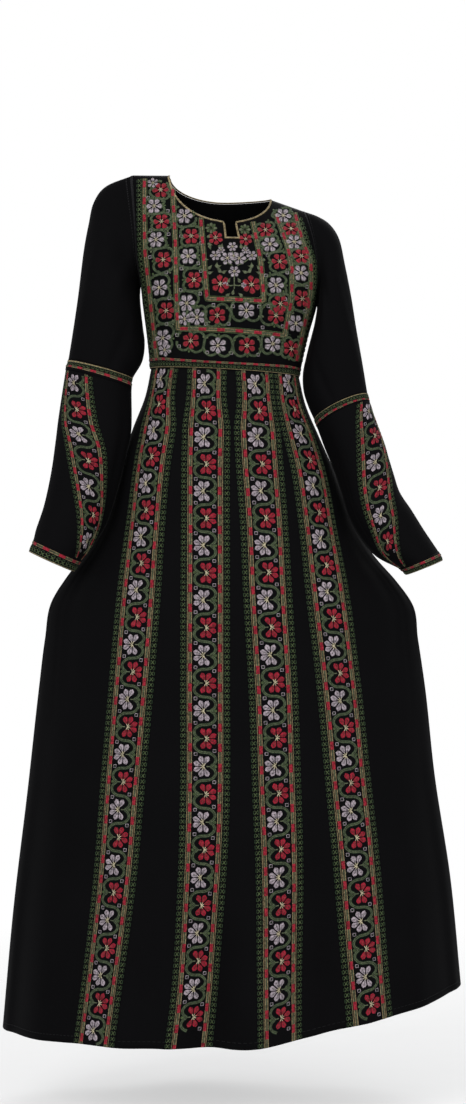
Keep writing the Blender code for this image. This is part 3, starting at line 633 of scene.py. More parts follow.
class Yarns:
    """All raised threads of one piece of embroidery, kept by colour as stacks of small grids."""

    def __init__(self, place):
        self.place = place
        self.grids = {}

    def add(self, colour, points, along, side):
        """A stack of grids (pieces, rows, columns), with places along and across the thread."""
        self.grids.setdefault(colour, []).append((points, along, side))

    def ribbons(self, colour, paths, width, rise=0.45, base=LOW):
        """Threads with a raised middle along chart lines: paths is (pieces, points, 2).

        Each cross-section is two edges on the ground and a raised middle.
        """
        paths = np.asarray(paths, float)
        run = np.gradient(paths, axis=1)
        side = unit(np.stack([run[..., 1], -run[..., 0]], axis=-1))
        offsets = np.array([-0.5, 0.0, 0.5]) * width
        spots = paths[:, :, None, :] + side[:, :, None, :] * offsets[None, None, :, None]
        lift = base + rise * np.array([0.0, 1.0, 0.0])
        shape = spots.shape[:-1]
        points = self.place(spots[..., 0], spots[..., 1], np.broadcast_to(lift, shape))
        along = np.broadcast_to(run_length(paths, 1)[:, :, None], shape)
        across = np.broadcast_to(np.array([0.0, 0.5, 1.0]) * width, shape)
        self.add(colour, points, along, across)

    def petals(self, colour, centres, turns, near, far, width, rise=0.9, base=LOW):
        """Domed teardrops from near to far along a direction, widest beyond the middle.

        The half width follows a sine drawn towards the tip, and the height a parabola across.
        """
        centres = np.asarray(centres, float)
        turns = np.asarray(turns, float)
        u = np.linspace(0, 1, PETAL_ROWS)
        swell = np.sin(np.pi * u ** (np.log(0.5) / np.log(PETAL_FULL))) ** 0.7
        swell = np.clip(swell, 0.05, 1)
        v = np.linspace(-1, 1, PETAL_COLUMNS)
        radius = near + (far - near) * u
        ahead = np.stack([np.cos(turns), np.sin(turns)], axis=-1)
        aside = np.stack([np.sin(turns), -np.cos(turns)], axis=-1)
        across = width / 2 * swell[:, None] * v[None, :]
        spots = (centres[:, None, None, :] + ahead[:, None, None, :] * radius[None, :, None, None]
                 + aside[:, None, None, :] * across[None, :, :, None])
        lift = base + rise * (1 - v[None, :] ** 2) * np.sin(np.pi * u[:, None]) ** 0.5
        shape = spots.shape[:-1]
        points = self.place(spots[..., 0], spots[..., 1], np.broadcast_to(lift[None], shape))
        self.add(colour, points, np.broadcast_to(width / 2 * v[None, None, :], shape),
                 np.broadcast_to(radius[None, :, None], shape))

    def crosses(self, colour, centres, run, wide, high, width):
        """Cross stitches along their run: two short threads, the second a little over the first."""
        side = np.stack([run[:, 1], -run[:, 0]], axis=-1)
        for sign, base in ((1, LOW), (-1, LOW + OVER)):
            arm = side * wide / 2 * sign + run * high / 2
            self.ribbons(colour, short_threads(centres, arm, 1.0), width, base=base)

    def build(self, name, slot_name):
        """One object for each colour."""
        for colour, grids in self.grids.items():
            thread = woven(f"{name}_{colour}_thread", grids, thread_material(colour))
            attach(thread, "root")


def short_threads(centres, reach, share):
    """Straight threads of three points, so much of their reach to both sides of their centres."""
    ways = np.array([-share, 0.0, share])[None, :, None]
    return centres[:, None, :] + ways * reach[:, None, :]


def quads(pieces, rows, cols, first):
    """Corner numbers of all the cells of a stack of grids."""
    corner = first + np.arange(pieces * rows * cols).reshape(pieces, rows, cols)
    cells = [corner[:, :-1, :-1], corner[:, 1:, :-1], corner[:, 1:, 1:], corner[:, :-1, 1:]]
    return np.stack(cells, axis=-1).reshape(-1, 4)


def woven(name, grids, material):
    """One mesh from stacks of small grids. Its UV map is the place along and across a thread."""
    points, faces, places = [], [], []
    first = 0
    for grid, along, side in grids:
        pieces, rows, cols = grid.shape[:3]
        points.append(grid.reshape(-1, 3))
        faces.append(quads(pieces, rows, cols, first))
        places.append(np.stack([along.reshape(-1), side.reshape(-1)], axis=-1))
        first += pieces * rows * cols
    thing = mesh_object(name, np.concatenate(points), np.concatenate(faces), material)
    put_uv(thing.data, np.concatenate(places))
    return thing


def mesh_object(name, points, faces, material):
    """A smooth mesh object at the origin from whole arrays of points and of four-cornered faces."""
    mesh = bpy.data.meshes.new(name)
    mesh.vertices.add(len(points))
    mesh.vertices.foreach_set("co", np.ascontiguousarray(points, dtype=np.float32).ravel())
    mesh.loops.add(faces.size)
    mesh.loops.foreach_set("vertex_index", faces.astype(np.int32).ravel())
    mesh.polygons.add(len(faces))
    starts = np.arange(0, faces.size, faces.shape[1], dtype=np.int32)
    mesh.polygons.foreach_set("loop_start", starts)
    mesh.polygons.foreach_set("use_smooth", np.ones(len(faces), dtype=bool))
    mesh.update(calc_edges=True)
    mesh.materials.append(material)
    thing = bpy.data.objects.new(name, mesh)
    bpy.context.scene.collection.objects.link(thing)
    return thing


def put_uv(mesh, places):
    """A UV map from one place for each point."""
    corner = np.empty(len(mesh.loops), dtype=np.int32)
    mesh.loops.foreach_get("vertex_index", corner)
    layer = mesh.uv_layers.new(name="UVMap")
    layer.data.foreach_set("uv", np.ascontiguousarray(places[corner], dtype=np.float32).ravel())


def shell(name, grid, material, thick, closed=False, left_out=None):
    """A thin cloth whose outer face is a dense grid. Solidify gives it its thickness inward.

    left_out marks cells that are open, such as the neck notch. The UV map holds lengths in metres.
    """
    rows, cols = grid.shape[:2]
    corner = np.arange(rows * cols).reshape(rows, cols)
    right = np.roll(corner, -1, 1) if closed else corner[:, 1:]
    left = corner if closed else corner[:, :-1]
    cells = np.stack([left[:-1], left[1:], right[1:], right[:-1]], axis=-1)
    keep = np.ones(cells.shape[:2], dtype=bool) if left_out is None else ~left_out
    thing = mesh_object(name, grid.reshape(-1, 3), cells[keep], material)
    put_uv(thing.data, np.stack([run_length(grid, 1), run_length(grid)], axis=-1).reshape(-1, 2))
    thicken = thing.modifiers.new("Cloth thickness", "SOLIDIFY")
    thicken.thickness = thick
    thicken.offset = -1.0
    thicken.use_rim = True
    return thing


# Petals of a flower, as turns from the direction away from its vine, and their size in millimetres
PETAL_TURNS = np.radians((22.0, 69.0, 114.0, -22.0, -69.0, -114.0))
PETAL_NEAR = 2.0
PETAL_FAR = 17.6
PETAL_WIDE = 8.6
FULL_TURNS = np.radians((0.0, 58.0, 118.0, 180.0, -58.0, -118.0))
FULL_WIDE = 9.6

# Its dark outline, and where the line of painted shade down each petal's middle notch and the rays
# of its star run, from the flower's middle
OUTLINE_FAR = 1.3
OUTLINE_WIDE = 2.2
NOTCH_SHADE = np.array((6.5, 10.0, 13.5))
RAY = np.array((0.4, 2.6, 5.2))

# One scallop of the vine beside a flower: away from the flower's side, and along the strip
VINE = ((0.0, -22.0), (6.0, -21.4), (11.5, -19.0), (15.8, -14.5), (17.0, -9.6), (14.6, -4.2),
        (9.6, 0.0), (14.6, 4.2), (17.0, 9.6), (15.8, 14.5), (11.5, 19.0), (6.0, 21.4))

# Way round a small square
SQUARE = np.array([(-1, -1), (0, -1), (1, -1), (1, 0), (1, 1), (0, 1), (-1, 1), (-1, 0), (-1, -1)])

# Red dashes on a dashed line, in millimetres: where they start, and their size on a line 5 mm wide
DASH_START = 4.0
DASH_PITCH = 29.3
DASH_LONG = 12.0
DASH_WIDE = 5.0

# A skirt strip's chart in millimetres: half its width, its flowers from the middle and along it,
# its dashed lines and thin gold lines from the middle, its cross stitches from the edge
STRIP_HALF = 39.5
FLOWER_SIDE = 1.8
FLOWER_PITCH = 44.0
FLOWER_END = 14.0
DASHES_AT = 23.4
THIN_AT = 28.0
CROSSES_IN = 5.0
FIRST_FLOWERS = (18.0, 26.0, 22.0, 14.0)

# Its vine's size, the stems' places, the leaf behind each flower and the tips beyond its petals as
# start, end and width, the tips' turn, and the squares between the flowers
STRIP_VINE = 0.82
STEM = (9.5, 6.0, 2.5)
LEAF = (12.4, 19.4, 5.0)
TIP = (19.0, 20.8, 3.6)
TIP_TURN = 0.9 * 0.45
SQUARE_SIDE = 14.8
SQUARE_SHARE = 0.44
SQUARE_END = 6.0

# Width of a dashed line, and width, height and pitch of the cross stitches
STRIP_DASHES = 5.4
STRIP_CROSSES = (5.4, 6.6, 9.0)
BAND_DASHES = 4.0
BAND_CROSSES = (5.0, 6.0, 7.6)

# A sleeve strip's chart: half its width, its dashed lines from the edge, and its flowers
SLEEVE_EDGE = 34.5
SLEEVE_DASHES_IN = 11.6
SLEEVE_PITCH = 51.0
SLEEVE_FIRST = 22.0

# Narrow bands' charts in millimetres: half their width, then where the cross stitches, the dashed
# line and the thin gold line run
BAND_HALF = 9.0
WAIST_CHART = (3.0, -5.6, 7.6)
ELBOW_CHART = (-3.5, 4.5, -8.0)
CUFF_CHART = (3.5, -4.5, 8.0)


def smooth_path(knots, steps):
    """A smooth line through chart points, with so many steps between each two."""
    knots = np.asarray(knots, float)
    places = np.arange(len(knots), dtype=float)
    at = np.linspace(0, len(knots) - 1, (len(knots) - 1) * steps + 1)
    return np.stack([curve(at, places, knots[:, 0]), curve(at, places, knots[:, 1])], axis=-1)


def even_path(knots, step):
    """A line of straight runs between chart points, cut at even lengths, and its whole length."""
    knots = np.asarray(knots, float)
    length = run_length(knots)
    at = np.linspace(0, length[-1], max(int(length[-1] / step), 1) + 1)
    return on_path(knots, length, at), length[-1]


def on_path(path, length, at):
    """Points of a line at some of its lengths."""
    return np.stack([np.interp(at, length, path[:, 0]), np.interp(at, length, path[:, 1])], axis=-1)


def beside(path, distance):
    """The same line moved sideways."""
    run = unit(np.gradient(path, axis=0))
    return path + distance * np.stack([-run[:, 1], run[:, 0]], axis=-1)


def flowers(yarns, colour, centres, facing, size, petals=PETAL_TURNS, wide=PETAL_WIDE):
    """Six-petalled flowers: dark outlines, a dark line of painted shade down each petal's middle
    notch, and a star of short stitches.
    """
    centres = np.asarray(centres, float)
    turns = (np.asarray(facing, float)[:, None] + petals[None, :]).ravel()
    roots = np.repeat(centres, len(petals), axis=0)
    yarns.petals(colour, roots, turns, PETAL_NEAR * size, PETAL_FAR * size, wide * size)
    ahead = np.stack([np.cos(turns), np.sin(turns)], axis=-1)
    dark = "wine" if colour == "red" else "mauve"
    yarns.petals(dark, roots, turns, PETAL_NEAR * size, (PETAL_FAR + OUTLINE_FAR) * size,
                 (wide + OUTLINE_WIDE) * size, rise=0.35, base=LOW - 0.15)
    # The dark line down each petal's middle is painted shade of its notch. The cream rays are the
    # star's stitches.
    for thread, places, width, rise, over in ((dark, NOTCH_SHADE, 1.6, 0.25, 0.72),
                                              ("cream", RAY, 1.2, 0.30, 0.70)):
        lines = roots[:, None, :] + ahead[:, None, :] * (places * size)[None, :, None]
        yarns.ribbons(thread, lines, width * size, rise=rise, base=LOW + over)


def squares(yarns, centres, size):
    """Small outlined squares with a cross stitch in the middle."""
    centres = np.asarray(centres, float)
    yarns.ribbons("white", centres[:, None, :] + SQUARE[None] * 2.3 * size, 1.0 * size)
    upright = np.broadcast_to((0.0, 1.0), centres.shape)
    yarns.crosses("green", centres, upright, 1.8 * size, 1.8 * size, 0.8 * size)


def vine(yarns, path, size):
    """A scalloped vine: two sage threads with a dark one between them and dark-green edges."""
    yarns.ribbons("green", path[None], 1.3 * size, rise=0.30)
    for side in (-1, 1):
        yarns.ribbons("sage", beside(path, side * 1.25 * size)[None], 1.25 * size, rise=0.50)
        yarns.ribbons("green", beside(path, side * 2.5 * size)[None], 1.4 * size, rise=0.35)


def dash_line(yarns, knots, wide, step=4.0):
    """A gold line of three threads with red dashes of satin stitch over it."""
    path, length = even_path(knots, step)
    for share, colour, rise in ((-0.38, "gold", 0.45), (0.0, "sage", 0.35), (0.38, "gold", 0.45)):
        yarns.ribbons(colour, beside(path, share * wide)[None], wide * 0.26, rise=rise)
    first = np.arange(DASH_START, length - DASH_LONG * 0.5, DASH_PITCH * wide / DASH_WIDE)
    ends = first[:, None] + np.linspace(0, DASH_LONG * wide / DASH_WIDE, 5)[None, :]
    dashes = on_path(path, run_length(path), np.minimum(ends, length))
    yarns.ribbons("red", dashes, wide, rise=0.50, base=LOW + 0.30)


def cross_row(yarns, knots, wide, high, pitch):
    """A row of moss cross stitches along a line, between two rows of short dark-green stitches."""
    path, _ = even_path(knots, pitch)
    spots = (path[1:] + path[:-1]) / 2
    run = unit(path[1:] - path[:-1])
    yarns.crosses("moss", spots, run, wide, high, 1.3)
    for sign in (-1, 1):
        edge = beside(spots, sign * (wide / 2 + 1.5))
        yarns.ribbons("green", short_threads(edge, pitch * run, 0.30), 1.4, rise=0.35)


def thin_line(yarns, place, ends, step, width, rise):
    """A thin gold line along a strip or band."""
    path, _ = even_path(((place, ends[0]), (place, ends[1])), step)
    yarns.ribbons("gold", path[None], width, rise=rise)


def strip_embroidery(yarns, length, first, edge=STRIP_HALF, pitch=FLOWER_PITCH):
    """The chart of one strip: flowers on their vine, with dashed lines and cross stitches."""
    end = length - 0.5
    line = min(DASHES_AT, edge - SLEEVE_DASHES_IN)
    for sign in (-1, 1):
        dash_line(yarns, ((sign * line, 0.5), (sign * line, end)), STRIP_DASHES)
        if edge == STRIP_HALF:
            thin_line(yarns, sign * THIN_AT, (0.5, end), 4.0, 1.0, 0.35)
        outer = sign * (edge - CROSSES_IN)
        cross_row(yarns, ((outer, 1.0), (outer, end)), *STRIP_CROSSES)
    along = np.arange(first, length - FLOWER_END, pitch)
    side = np.where(np.arange(len(along)) % 2 == 0, -1.0, 1.0)
    centres = np.stack([side * FLOWER_SIDE, along], axis=-1)
    facing = np.where(side < 0, np.pi, 0.0)
    for colour, pick in (("white", side < 0), ("red", side > 0)):
        flowers(yarns, colour, centres[pick], facing[pick], 1.0)
    knots = np.concatenate([np.array(VINE) * (-way, pitch / FLOWER_PITCH) + (0.0, t)
                            for way, t in zip(side, along)])
    keep = (knots[:, 1] > 2.0) & (knots[:, 1] < length - 2.0)
    vine(yarns, smooth_path(knots[keep], 4), STRIP_VINE)
    stems = np.stack([np.stack([-side * reach, along], axis=-1) for reach in STEM], axis=1)
    yarns.ribbons("sage", stems, 1.8, rise=0.5)
    yarns.petals("moss", centres * (0.0, 1.0), facing + np.pi, *LEAF, rise=0.6)
    for turn in (-TIP_TURN, TIP_TURN):
        yarns.petals("green", centres, facing + turn, *TIP, rise=0.4)
    for step in (-pitch * SQUARE_SHARE, pitch * SQUARE_SHARE):
        spots = np.stack([side * SQUARE_SIDE, along + step], axis=-1)
        keep = (spots[:, 1] > SQUARE_END) & (spots[:, 1] < length - SQUARE_END)
        squares(yarns, spots[keep], 1.0)


def band_embroidery(yarns, length, cross_at, dash_at, thin_at):
    """The chart of a narrow band: a row of cross stitches, a dashed line and a thin gold line."""
    ends = (0.5, length - 0.5)
    dash_line(yarns, ((dash_at, ends[0]), (dash_at, ends[1])), BAND_DASHES, step=3.0)
    cross_row(yarns, ((cross_at, ends[0]), (cross_at, ends[1])), *BAND_CROSSES)
    thin_line(yarns, thin_at, ends, 3.0, 1.3, 0.40)


# Chest chart in millimetres: towards the wearer's left of the centre line, and down from the origin
CHEST_LINES = (
    ((-139, -14), (-138, 40), (-136, 109), (-123, 231), (-118, 280)),
    ((-93, 2), (-87, 98), (-83, 236), (2, 240), (87, 246), (98, 191), (99, 141), (92, 103),
     (74, 46)),
    ((-47, 56), (-36, 191), (54, 194), (49, 130), (37, 62)),
    ((105, 42), (111, 69), (117, 93), (129, 125), (130, 150), (129, 178), (121, 220), (115, 250),
     (107, 284)),
)
CHEST_BORDERS = (
    ((-147, -14), (-146, 40), (-144, 109), (-131, 231), (-126, 280)),
    ((112, 50), (118, 69), (124, 93), (135, 125), (135.5, 150), (134, 178), (127, 220),
     (121, 250), (113, 284)),
)

# Flowers of the chest: colour, place, side on which the vine doesn't run (-1 towards the left edge)
LEFT_COLUMN = (("red", -112, 7, 1), ("white", -122, 35, -1), ("red", -110, 62, 1),
               ("white", -118, 92, -1), ("red", -106, 126, 1), ("white", -112, 170, -1),
               ("red", -101, 207, 1), ("white", -107, 249, -1))
INNER_LEFT = (("white", -73, 53, -1), ("red", -62, 88, 1), ("white", -66, 122, -1),
              ("red", -57, 161, 1), ("white", -68, 197, -1))
BOTTOM_ROW = (("white", -52, 219, 1), ("red", -20, 217, -1), ("white", 26, 209, 1),
              ("red", 73, 216, -1))
INNER_RIGHT = (("red", 57, 76, 1), ("white", 64, 101, -1), ("red", 79, 130, 1),
               ("white", 73, 169, -1), ("red", 80, 197, 1))
LOW_ROW = (("red", -62, 256, -1), ("white", -19, 264, 1), ("red", 27, 264, -1),
           ("white", 68, 260, 1), ("red", 98, 266, -1))
RIGHT_COLUMN = (("white", 86, 49, -1), ("red", 98, 72, 1), ("white", 103, 95, -1),
                ("red", 114, 119, 1), ("white", 113, 147, -1), ("red", 115, 187, 1),
                ("white", 105, 226, -1))
CHEST_ROWS = (LEFT_COLUMN, INNER_LEFT, BOTTOM_ROW, INNER_RIGHT, LOW_ROW, RIGHT_COLUMN)

# Lines and cross stitches, as on the strips
CHEST_DASHES = 5.0
CHEST_CROSSES = (5.0, 6.4, 8.0)

# The rows' size, how far the vine stays away from the flowers, and inside the panel's edges
CHEST_SIZE = 0.76
CHEST_VINE = 0.68
CHEST_AWAY = 4.6
CHEST_LOW = 288.0
CHEST_TOP_IN = 4.5
CHEST_SIDE_IN = 3.0

# Flowers outside the rows: colour, place, size
CHEST_LONE = (("white", -125, -6, 0.52), ("white", -72, 221, 0.60), ("white", -104, 268, 0.60),
              ("red", -23, 91, 0.66), ("red", 25, 93, 0.60), ("red", -15, 168, 0.80),
              ("red", 34, 169, 0.80))

# Bouquet under the notch: place and size of its flowers, place and turn of its leaves
BOUQUET = ((4, 106, 0.46), (-4, 126, 0.62), (15, 126, 0.62), (7, 148, 0.52), (-23, 121, 0.48),
           (35, 121, 0.48), (-14, 112, 0.34), (25, 112, 0.34), (6, 122, 0.40))
BOUQUET_LEAVES = ((-10, 108, 200), (19, 108, -20), (-13, 138, 160), (28, 138, 20),
                  (-30, 112, 250), (43, 112, -70), (-28, 137, 130), (42, 137, 50), (-4, 146, 150),
                  (19, 146, 30), (1, 158, 120), (12, 158, 60), (6, 176, 100), (1, 182, 140),
                  (13, 182, 40), (-20, 132, 100), (34, 132, 80), (-26, 148, 160), (41, 148, 20),
                  (-10, 150, 200), (25, 150, -20), (-27, 104, 200), (39, 104, -20),
                  (-33, 128, 180), (47, 128, 0), (-20, 140, 60), (35, 140, 120), (-30, 84, 130),
                  (33, 84, 50), (-12, 100, 100), (17, 100, 80), (-30, 190, 200), (46, 188, -20))

# Start, end and width of the bouquet's leaves and petals, the turns of a bud's petals, and the
# small squares' size. Then its round sprigs, stems and buds, and the squares' places.
BOUQUET_LEAF = (0.3, 9.5, 5.2)
SPRIG_LEAF = (1.0, 9.5, 4.6)
BUD_PETAL = (0.4, 4.6, 3.0)
BUD_TURNS = (0.5, 1.6, 2.6, 3.7, 4.7, 5.8)
CHEST_SQUARE = 0.95
SPRIGS = ((-30, 74), (24, 76))
BOUQUET_STEMS = (((7, 152), (7, 163), (7, 176)), ((-6, 169), (1, 171), (7, 170)),
                 ((21, 169), (14, 171), (7, 170)), ((4, 114), (6, 122), (8, 132)),
                 ((-14, 126), (-6, 132), (4, 138)), ((30, 127), (22, 133), (12, 138)))
BUDS = ((-7, 169), (22, 170))
CHEST_SQUARES = ((-101, 147), (-77, 142), (-46, 147), (-47, 183), (57, 154), (61, 202), (88, 190),
                 (-38, 230), (-2, 230), (52, 235), (-84, 246), (-36, 275), (2, 276), (45, 278),
                 (5, 203), (46, 203), (-81, 264), (84, 232), (-101, 228), (-96, 188), (-78, 88),
                 (-100, 44), (-98, 84), (-26, 201), (-128, 120), (-127, 76), (-132, 20),
                 (60, 120), (91, 148), (120, 206), (123, 168), (84, 84), (-46, 100), (-50, 134),
                 (-78, 176))


def row_frames(row):
    """Places of a row's flowers, the ways along and across it, their spacing and their sides."""
    centres = np.array([(s, t) for _, s, t, _ in row], float)
    run = np.gradient(centres, axis=0)
    gap = np.linalg.norm(run, axis=1) / FLOWER_PITCH
    run = unit(run)
    aside = np.stack([run[:, 1], -run[:, 0]], axis=-1)
    main = aside[np.arange(len(row)), np.argmax(np.abs(aside), axis=1)]
    sides = np.array([side for _, _, _, side in row], float)
    return centres, run, aside * np.sign(main)[:, None], gap, sides


def row_vine(row, size, way):
    """A scalloped vine beside a row of flowers: each scallop is turned and drawn to its neighbours.

    way is 1 for the vine away from the flowers' own side and -1 for its mirror. Only what lies
    on the cloth is kept.
    """
    shape = np.array(VINE)
    knots = [centre + (CHEST_AWAY + shape[:, :1]) * -side * way * size * aside
             + shape[:, 1:] * reach * ahead
             for centre, ahead, aside, reach, side in zip(*row_frames(row))]
    line = smooth_path(np.concatenate(knots), 3)
    return line[on_chest(line)]


def on_chest(points):
    """Which chart points lie on the chest panel, a little inside its edges."""
    x, z = top_edge(np.linspace(0, 1, 401), "front")
    top = -np.interp(points[:, 0] * MM, x, z) / MM
    right, high = side_edge(ARMHOLE_RIGHT, "right", np.linspace(0, 1, 201))
    left, level = side_edge(ARMHOLE_LEFT, "left", np.linspace(0, 1, 201))
    start = -np.interp(-points[:, 1] * MM, high, np.abs(right)) / MM
    end = np.interp(-points[:, 1] * MM, level, np.abs(left)) / MM
    return ((points[:, 1] > top + CHEST_TOP_IN) & (points[:, 1] < CHEST_LOW)
            & (points[:, 0] > start + CHEST_SIDE_IN) & (points[:, 0] < end - CHEST_SIDE_IN))


def row_leaves(yarns, row, size):
    """Leaves round each flower of a row: three beyond the vine, and pairs between the flowers."""
    for centre, ahead, aside, reach, side in zip(*row_frames(row)):
        behind = np.arctan2(*(-side * aside)[::-1])
        beyond = centre - side * aside * 17.0 * size
        yarns.petals("moss", (beyond,) * 3, behind + np.radians((-62.0, 0.0, 62.0)), 0.6,
                     8.0 * size, 4.6 * size, rise=0.6)
        for way in (-1, 1):
            middle = centre + way * ahead * reach * FLOWER_PITCH * 0.5 + side * aside * 9.0 * size
            turn = np.arctan2(*(side * aside)[::-1])
            yarns.petals("sage" if way > 0 else "moss", (middle,) * 2,
                         turn + np.radians((-50.0, 50.0)), 0.6, 7.4 * size, 4.2 * size, rise=0.6)
            across = [[middle - 4.0 * aside, middle, middle + 4.0 * aside]]
            yarns.ribbons("green", across, 1.2, rise=0.35)


def line_edges(yarns, line):
    """Thin moss threads along both sides of a dashed line."""
    path, _ = even_path(line, 3.0)
    for side in (-1, 1):
        yarns.ribbons("moss", beside(path, side * 4.0)[None], 1.2, rise=0.35)


def chest_embroidery(yarns):
    """The whole chest panel: nested dashed lines, flowers with vines, the bouquet, the borders."""
    for line in CHEST_LINES:
        dash_line(yarns, line, CHEST_DASHES, step=3.0)
        line_edges(yarns, line)
    for border in CHEST_BORDERS:
        cross_row(yarns, border, *CHEST_CROSSES)
    for row in CHEST_ROWS:
        for way in (1, -1):
            vine(yarns, row_vine(row, CHEST_SIZE, way), CHEST_VINE)
        row_leaves(yarns, row, CHEST_SIZE)
        upright = abs(row[-1][2] - row[0][2]) > abs(row[-1][1] - row[0][1])
        for colour in ("red", "white"):
            chosen = [(s, t, side) for kind, s, t, side in row if kind == colour]
            centres = [(s, t) for s, t, _ in chosen]
            facing = [(0.0 if upright else np.pi / 2) + (np.pi if side < 0 else 0.0)
                      for _, _, side in chosen]
            flowers(yarns, colour, centres, facing, CHEST_SIZE, FULL_TURNS, FULL_WIDE)
    for colour, s, t, size in CHEST_LONE:
        flowers(yarns, colour, ((s, t),), (0.4,), size, FULL_TURNS, FULL_WIDE)
    for s, t, size in BOUQUET:
        flowers(yarns, "white", ((s, t),), (1.0,), size, FULL_TURNS, FULL_WIDE)
    leaves = np.array(BOUQUET_LEAVES, float)
    yarns.petals("sage", leaves[:, :2], np.radians(leaves[:, 2]), *BOUQUET_LEAF, rise=0.7)
    for s, t in SPRIGS:
        for turn, colour in zip(range(0, 360, 45), ("sage", "moss") * 4):
            yarns.petals(colour, ((s, t),), np.radians((turn,)), *SPRIG_LEAF, rise=0.7)
    yarns.ribbons("sage", np.array(BOUQUET_STEMS, float), 1.6, rise=0.5)
    buds = np.array(BUDS, float)
    for turn in BUD_TURNS:
        yarns.petals("white", buds, np.full(len(buds), turn), *BUD_PETAL, rise=0.8)
    squares(yarns, CHEST_SQUARES, CHEST_SQUARE)


# Seams and hem in millimetres: rows of stitches from their edge, and low ridges over the seams
HEM_DEEP = 11.0
HEM_STITCH = 3.2
HEM_PITCH = 5.2
STITCHED_IN = 5.0
STITCH = 2.6
STITCH_PITCH = 4.2
RIDGE_IN = 1.2
BACK_RIDGE_IN = 0.8
RIDGE = 1.8
ARMHOLE_RIDGE = 2.0
SIDE_RIDGE = 0.6
SIDE_FOOT = 0.02
SIDE_LONG = 1080
SIDE_STEP = 1.5


def stitched_line(yarns, start, end, long=STITCH, pitch=STITCH_PITCH):
    """A row of small black stitches between two chart points."""
    start, end = np.array(start, float), np.array(end, float)
    reach = np.linalg.norm(end - start)
    along = (end - start) / reach
    first = np.arange(pitch, reach - pitch, pitch)[:, None, None]
    at = first + np.array([0.0, 0.5, 1.0])[None, :, None] * long
    yarns.ribbons("black", start + at * along, 0.7, rise=0.35, base=0.05)


def seam_ridge(yarns, start, end, wide=RIDGE):
    """A raised seam of the cloth along a straight chart line."""
    path, _ = even_path((start, end), 6.0)
    yarns.ribbons("black", path[None], wide, rise=0.55, base=0.02)


# Materials

# Threads' and cloths' textures: periods in the units of their UV maps, and noise scales per metre
STITCH_PERIOD = 1.05
TWIST_PERIOD = 0.55
WEAVE_PERIOD = 0.0011
ROUGH_SCALE = 420.0
BLOTCH_SCALE = 300.0
GRAIN_SCALE = 650.0
SLOW_SCALE = 9.0


def math_node(tree, operation, *values):
    """A math node with its inputs linked or set."""
    node = tree.nodes.new("ShaderNodeMath")
    node.operation = operation
    for place, value in enumerate(values):
        if isinstance(value, (int, float)):
            node.inputs[place].default_value = value
        else:
            tree.links.new(value, node.inputs[place])
    return node.outputs[0]


def wave(tree, value, period):
    """A sine of a length with the given period, from 0 to 1."""
    turned = math_node(tree, "SINE", math_node(tree, "MULTIPLY", value, 2 * np.pi / period))
    return math_node(tree, "MULTIPLY_ADD", turned, 0.5, 0.5)


def noise(tree, vector, scale, detail=2.0):
    """A noise texture's value."""
    node = tree.nodes.new("ShaderNodeTexNoise")
    node.inputs["Scale"].default_value = scale
    node.inputs["Detail"].default_value = detail
    tree.links.new(vector, node.inputs["Vector"])
    return node.outputs["Fac"]


def relief_group(name, build):
    """A node group made once. Places on the cloth and in space go in, height and shade come out."""
    if name in bpy.data.node_groups:
        return bpy.data.node_groups[name]
    group = bpy.data.node_groups.new(name, "ShaderNodeTree")
    for label in ("Place", "Object"):
        group.interface.new_socket(name=label, in_out="INPUT", socket_type="NodeSocketVector")
    for label in ("Height", "Shade"):
        group.interface.new_socket(name=label, in_out="OUTPUT", socket_type="NodeSocketFloat")
    come, go = group.nodes.new("NodeGroupInput"), group.nodes.new("NodeGroupOutput")
    split = group.nodes.new("ShaderNodeSeparateXYZ")
    group.links.new(come.outputs["Place"], split.inputs[0])
    height, shade = build(group, split.outputs[0], split.outputs[1], come.outputs["Object"])
    group.links.new(height, go.inputs["Height"])
    group.links.new(shade, go.inputs["Shade"])
    return group


def thread_relief(group, along, across, point):
    """Satin stitches: side-by-side threads along the stitch, uneven, with a soft twist. The gaps
    between the stitches are painted darker as shade.
    """
    shift = math_node(group, "MULTIPLY", noise(group, point, ROUGH_SCALE), 0.9)
    stitch = wave(group, math_node(group, "ADD", along, shift), STITCH_PERIOD)
    twist = wave(group, math_node(group, "ADD", across, along), TWIST_PERIOD)
    height = math_node(group, "ADD", stitch, math_node(group, "MULTIPLY", twist, 0.25))
    blotch = math_node(group, "MULTIPLY", noise(group, point, BLOTCH_SCALE), 2.6)
    uneven = math_node(group, "ADD", blotch, -1.0)
    # Shade: the stitch wave's share darkens the gaps between stitches as painted shade. The blotch
    # noise is random tone of the thread.
    return height, math_node(group, "ADD", math_node(group, "MULTIPLY", stitch, 0.4), uneven)


def crepe_relief(group, along, across, point):
    """Crepe: a fine pebbled grain over a plain weave, with slow changes of shade."""
    weave = math_node(group, "MULTIPLY", wave(group, along, WEAVE_PERIOD),
                      wave(group, across, WEAVE_PERIOD))
    grain = noise(group, point, GRAIN_SCALE, 3.0)
    height = math_node(group, "ADD", math_node(group, "MULTIPLY", weave, 0.4), grain)
    slow = math_node(group, "MULTIPLY", noise(group, point, SLOW_SCALE), 0.5)
    return height, math_node(group, "ADD", math_node(group, "MULTIPLY", grain, 0.5), slow)


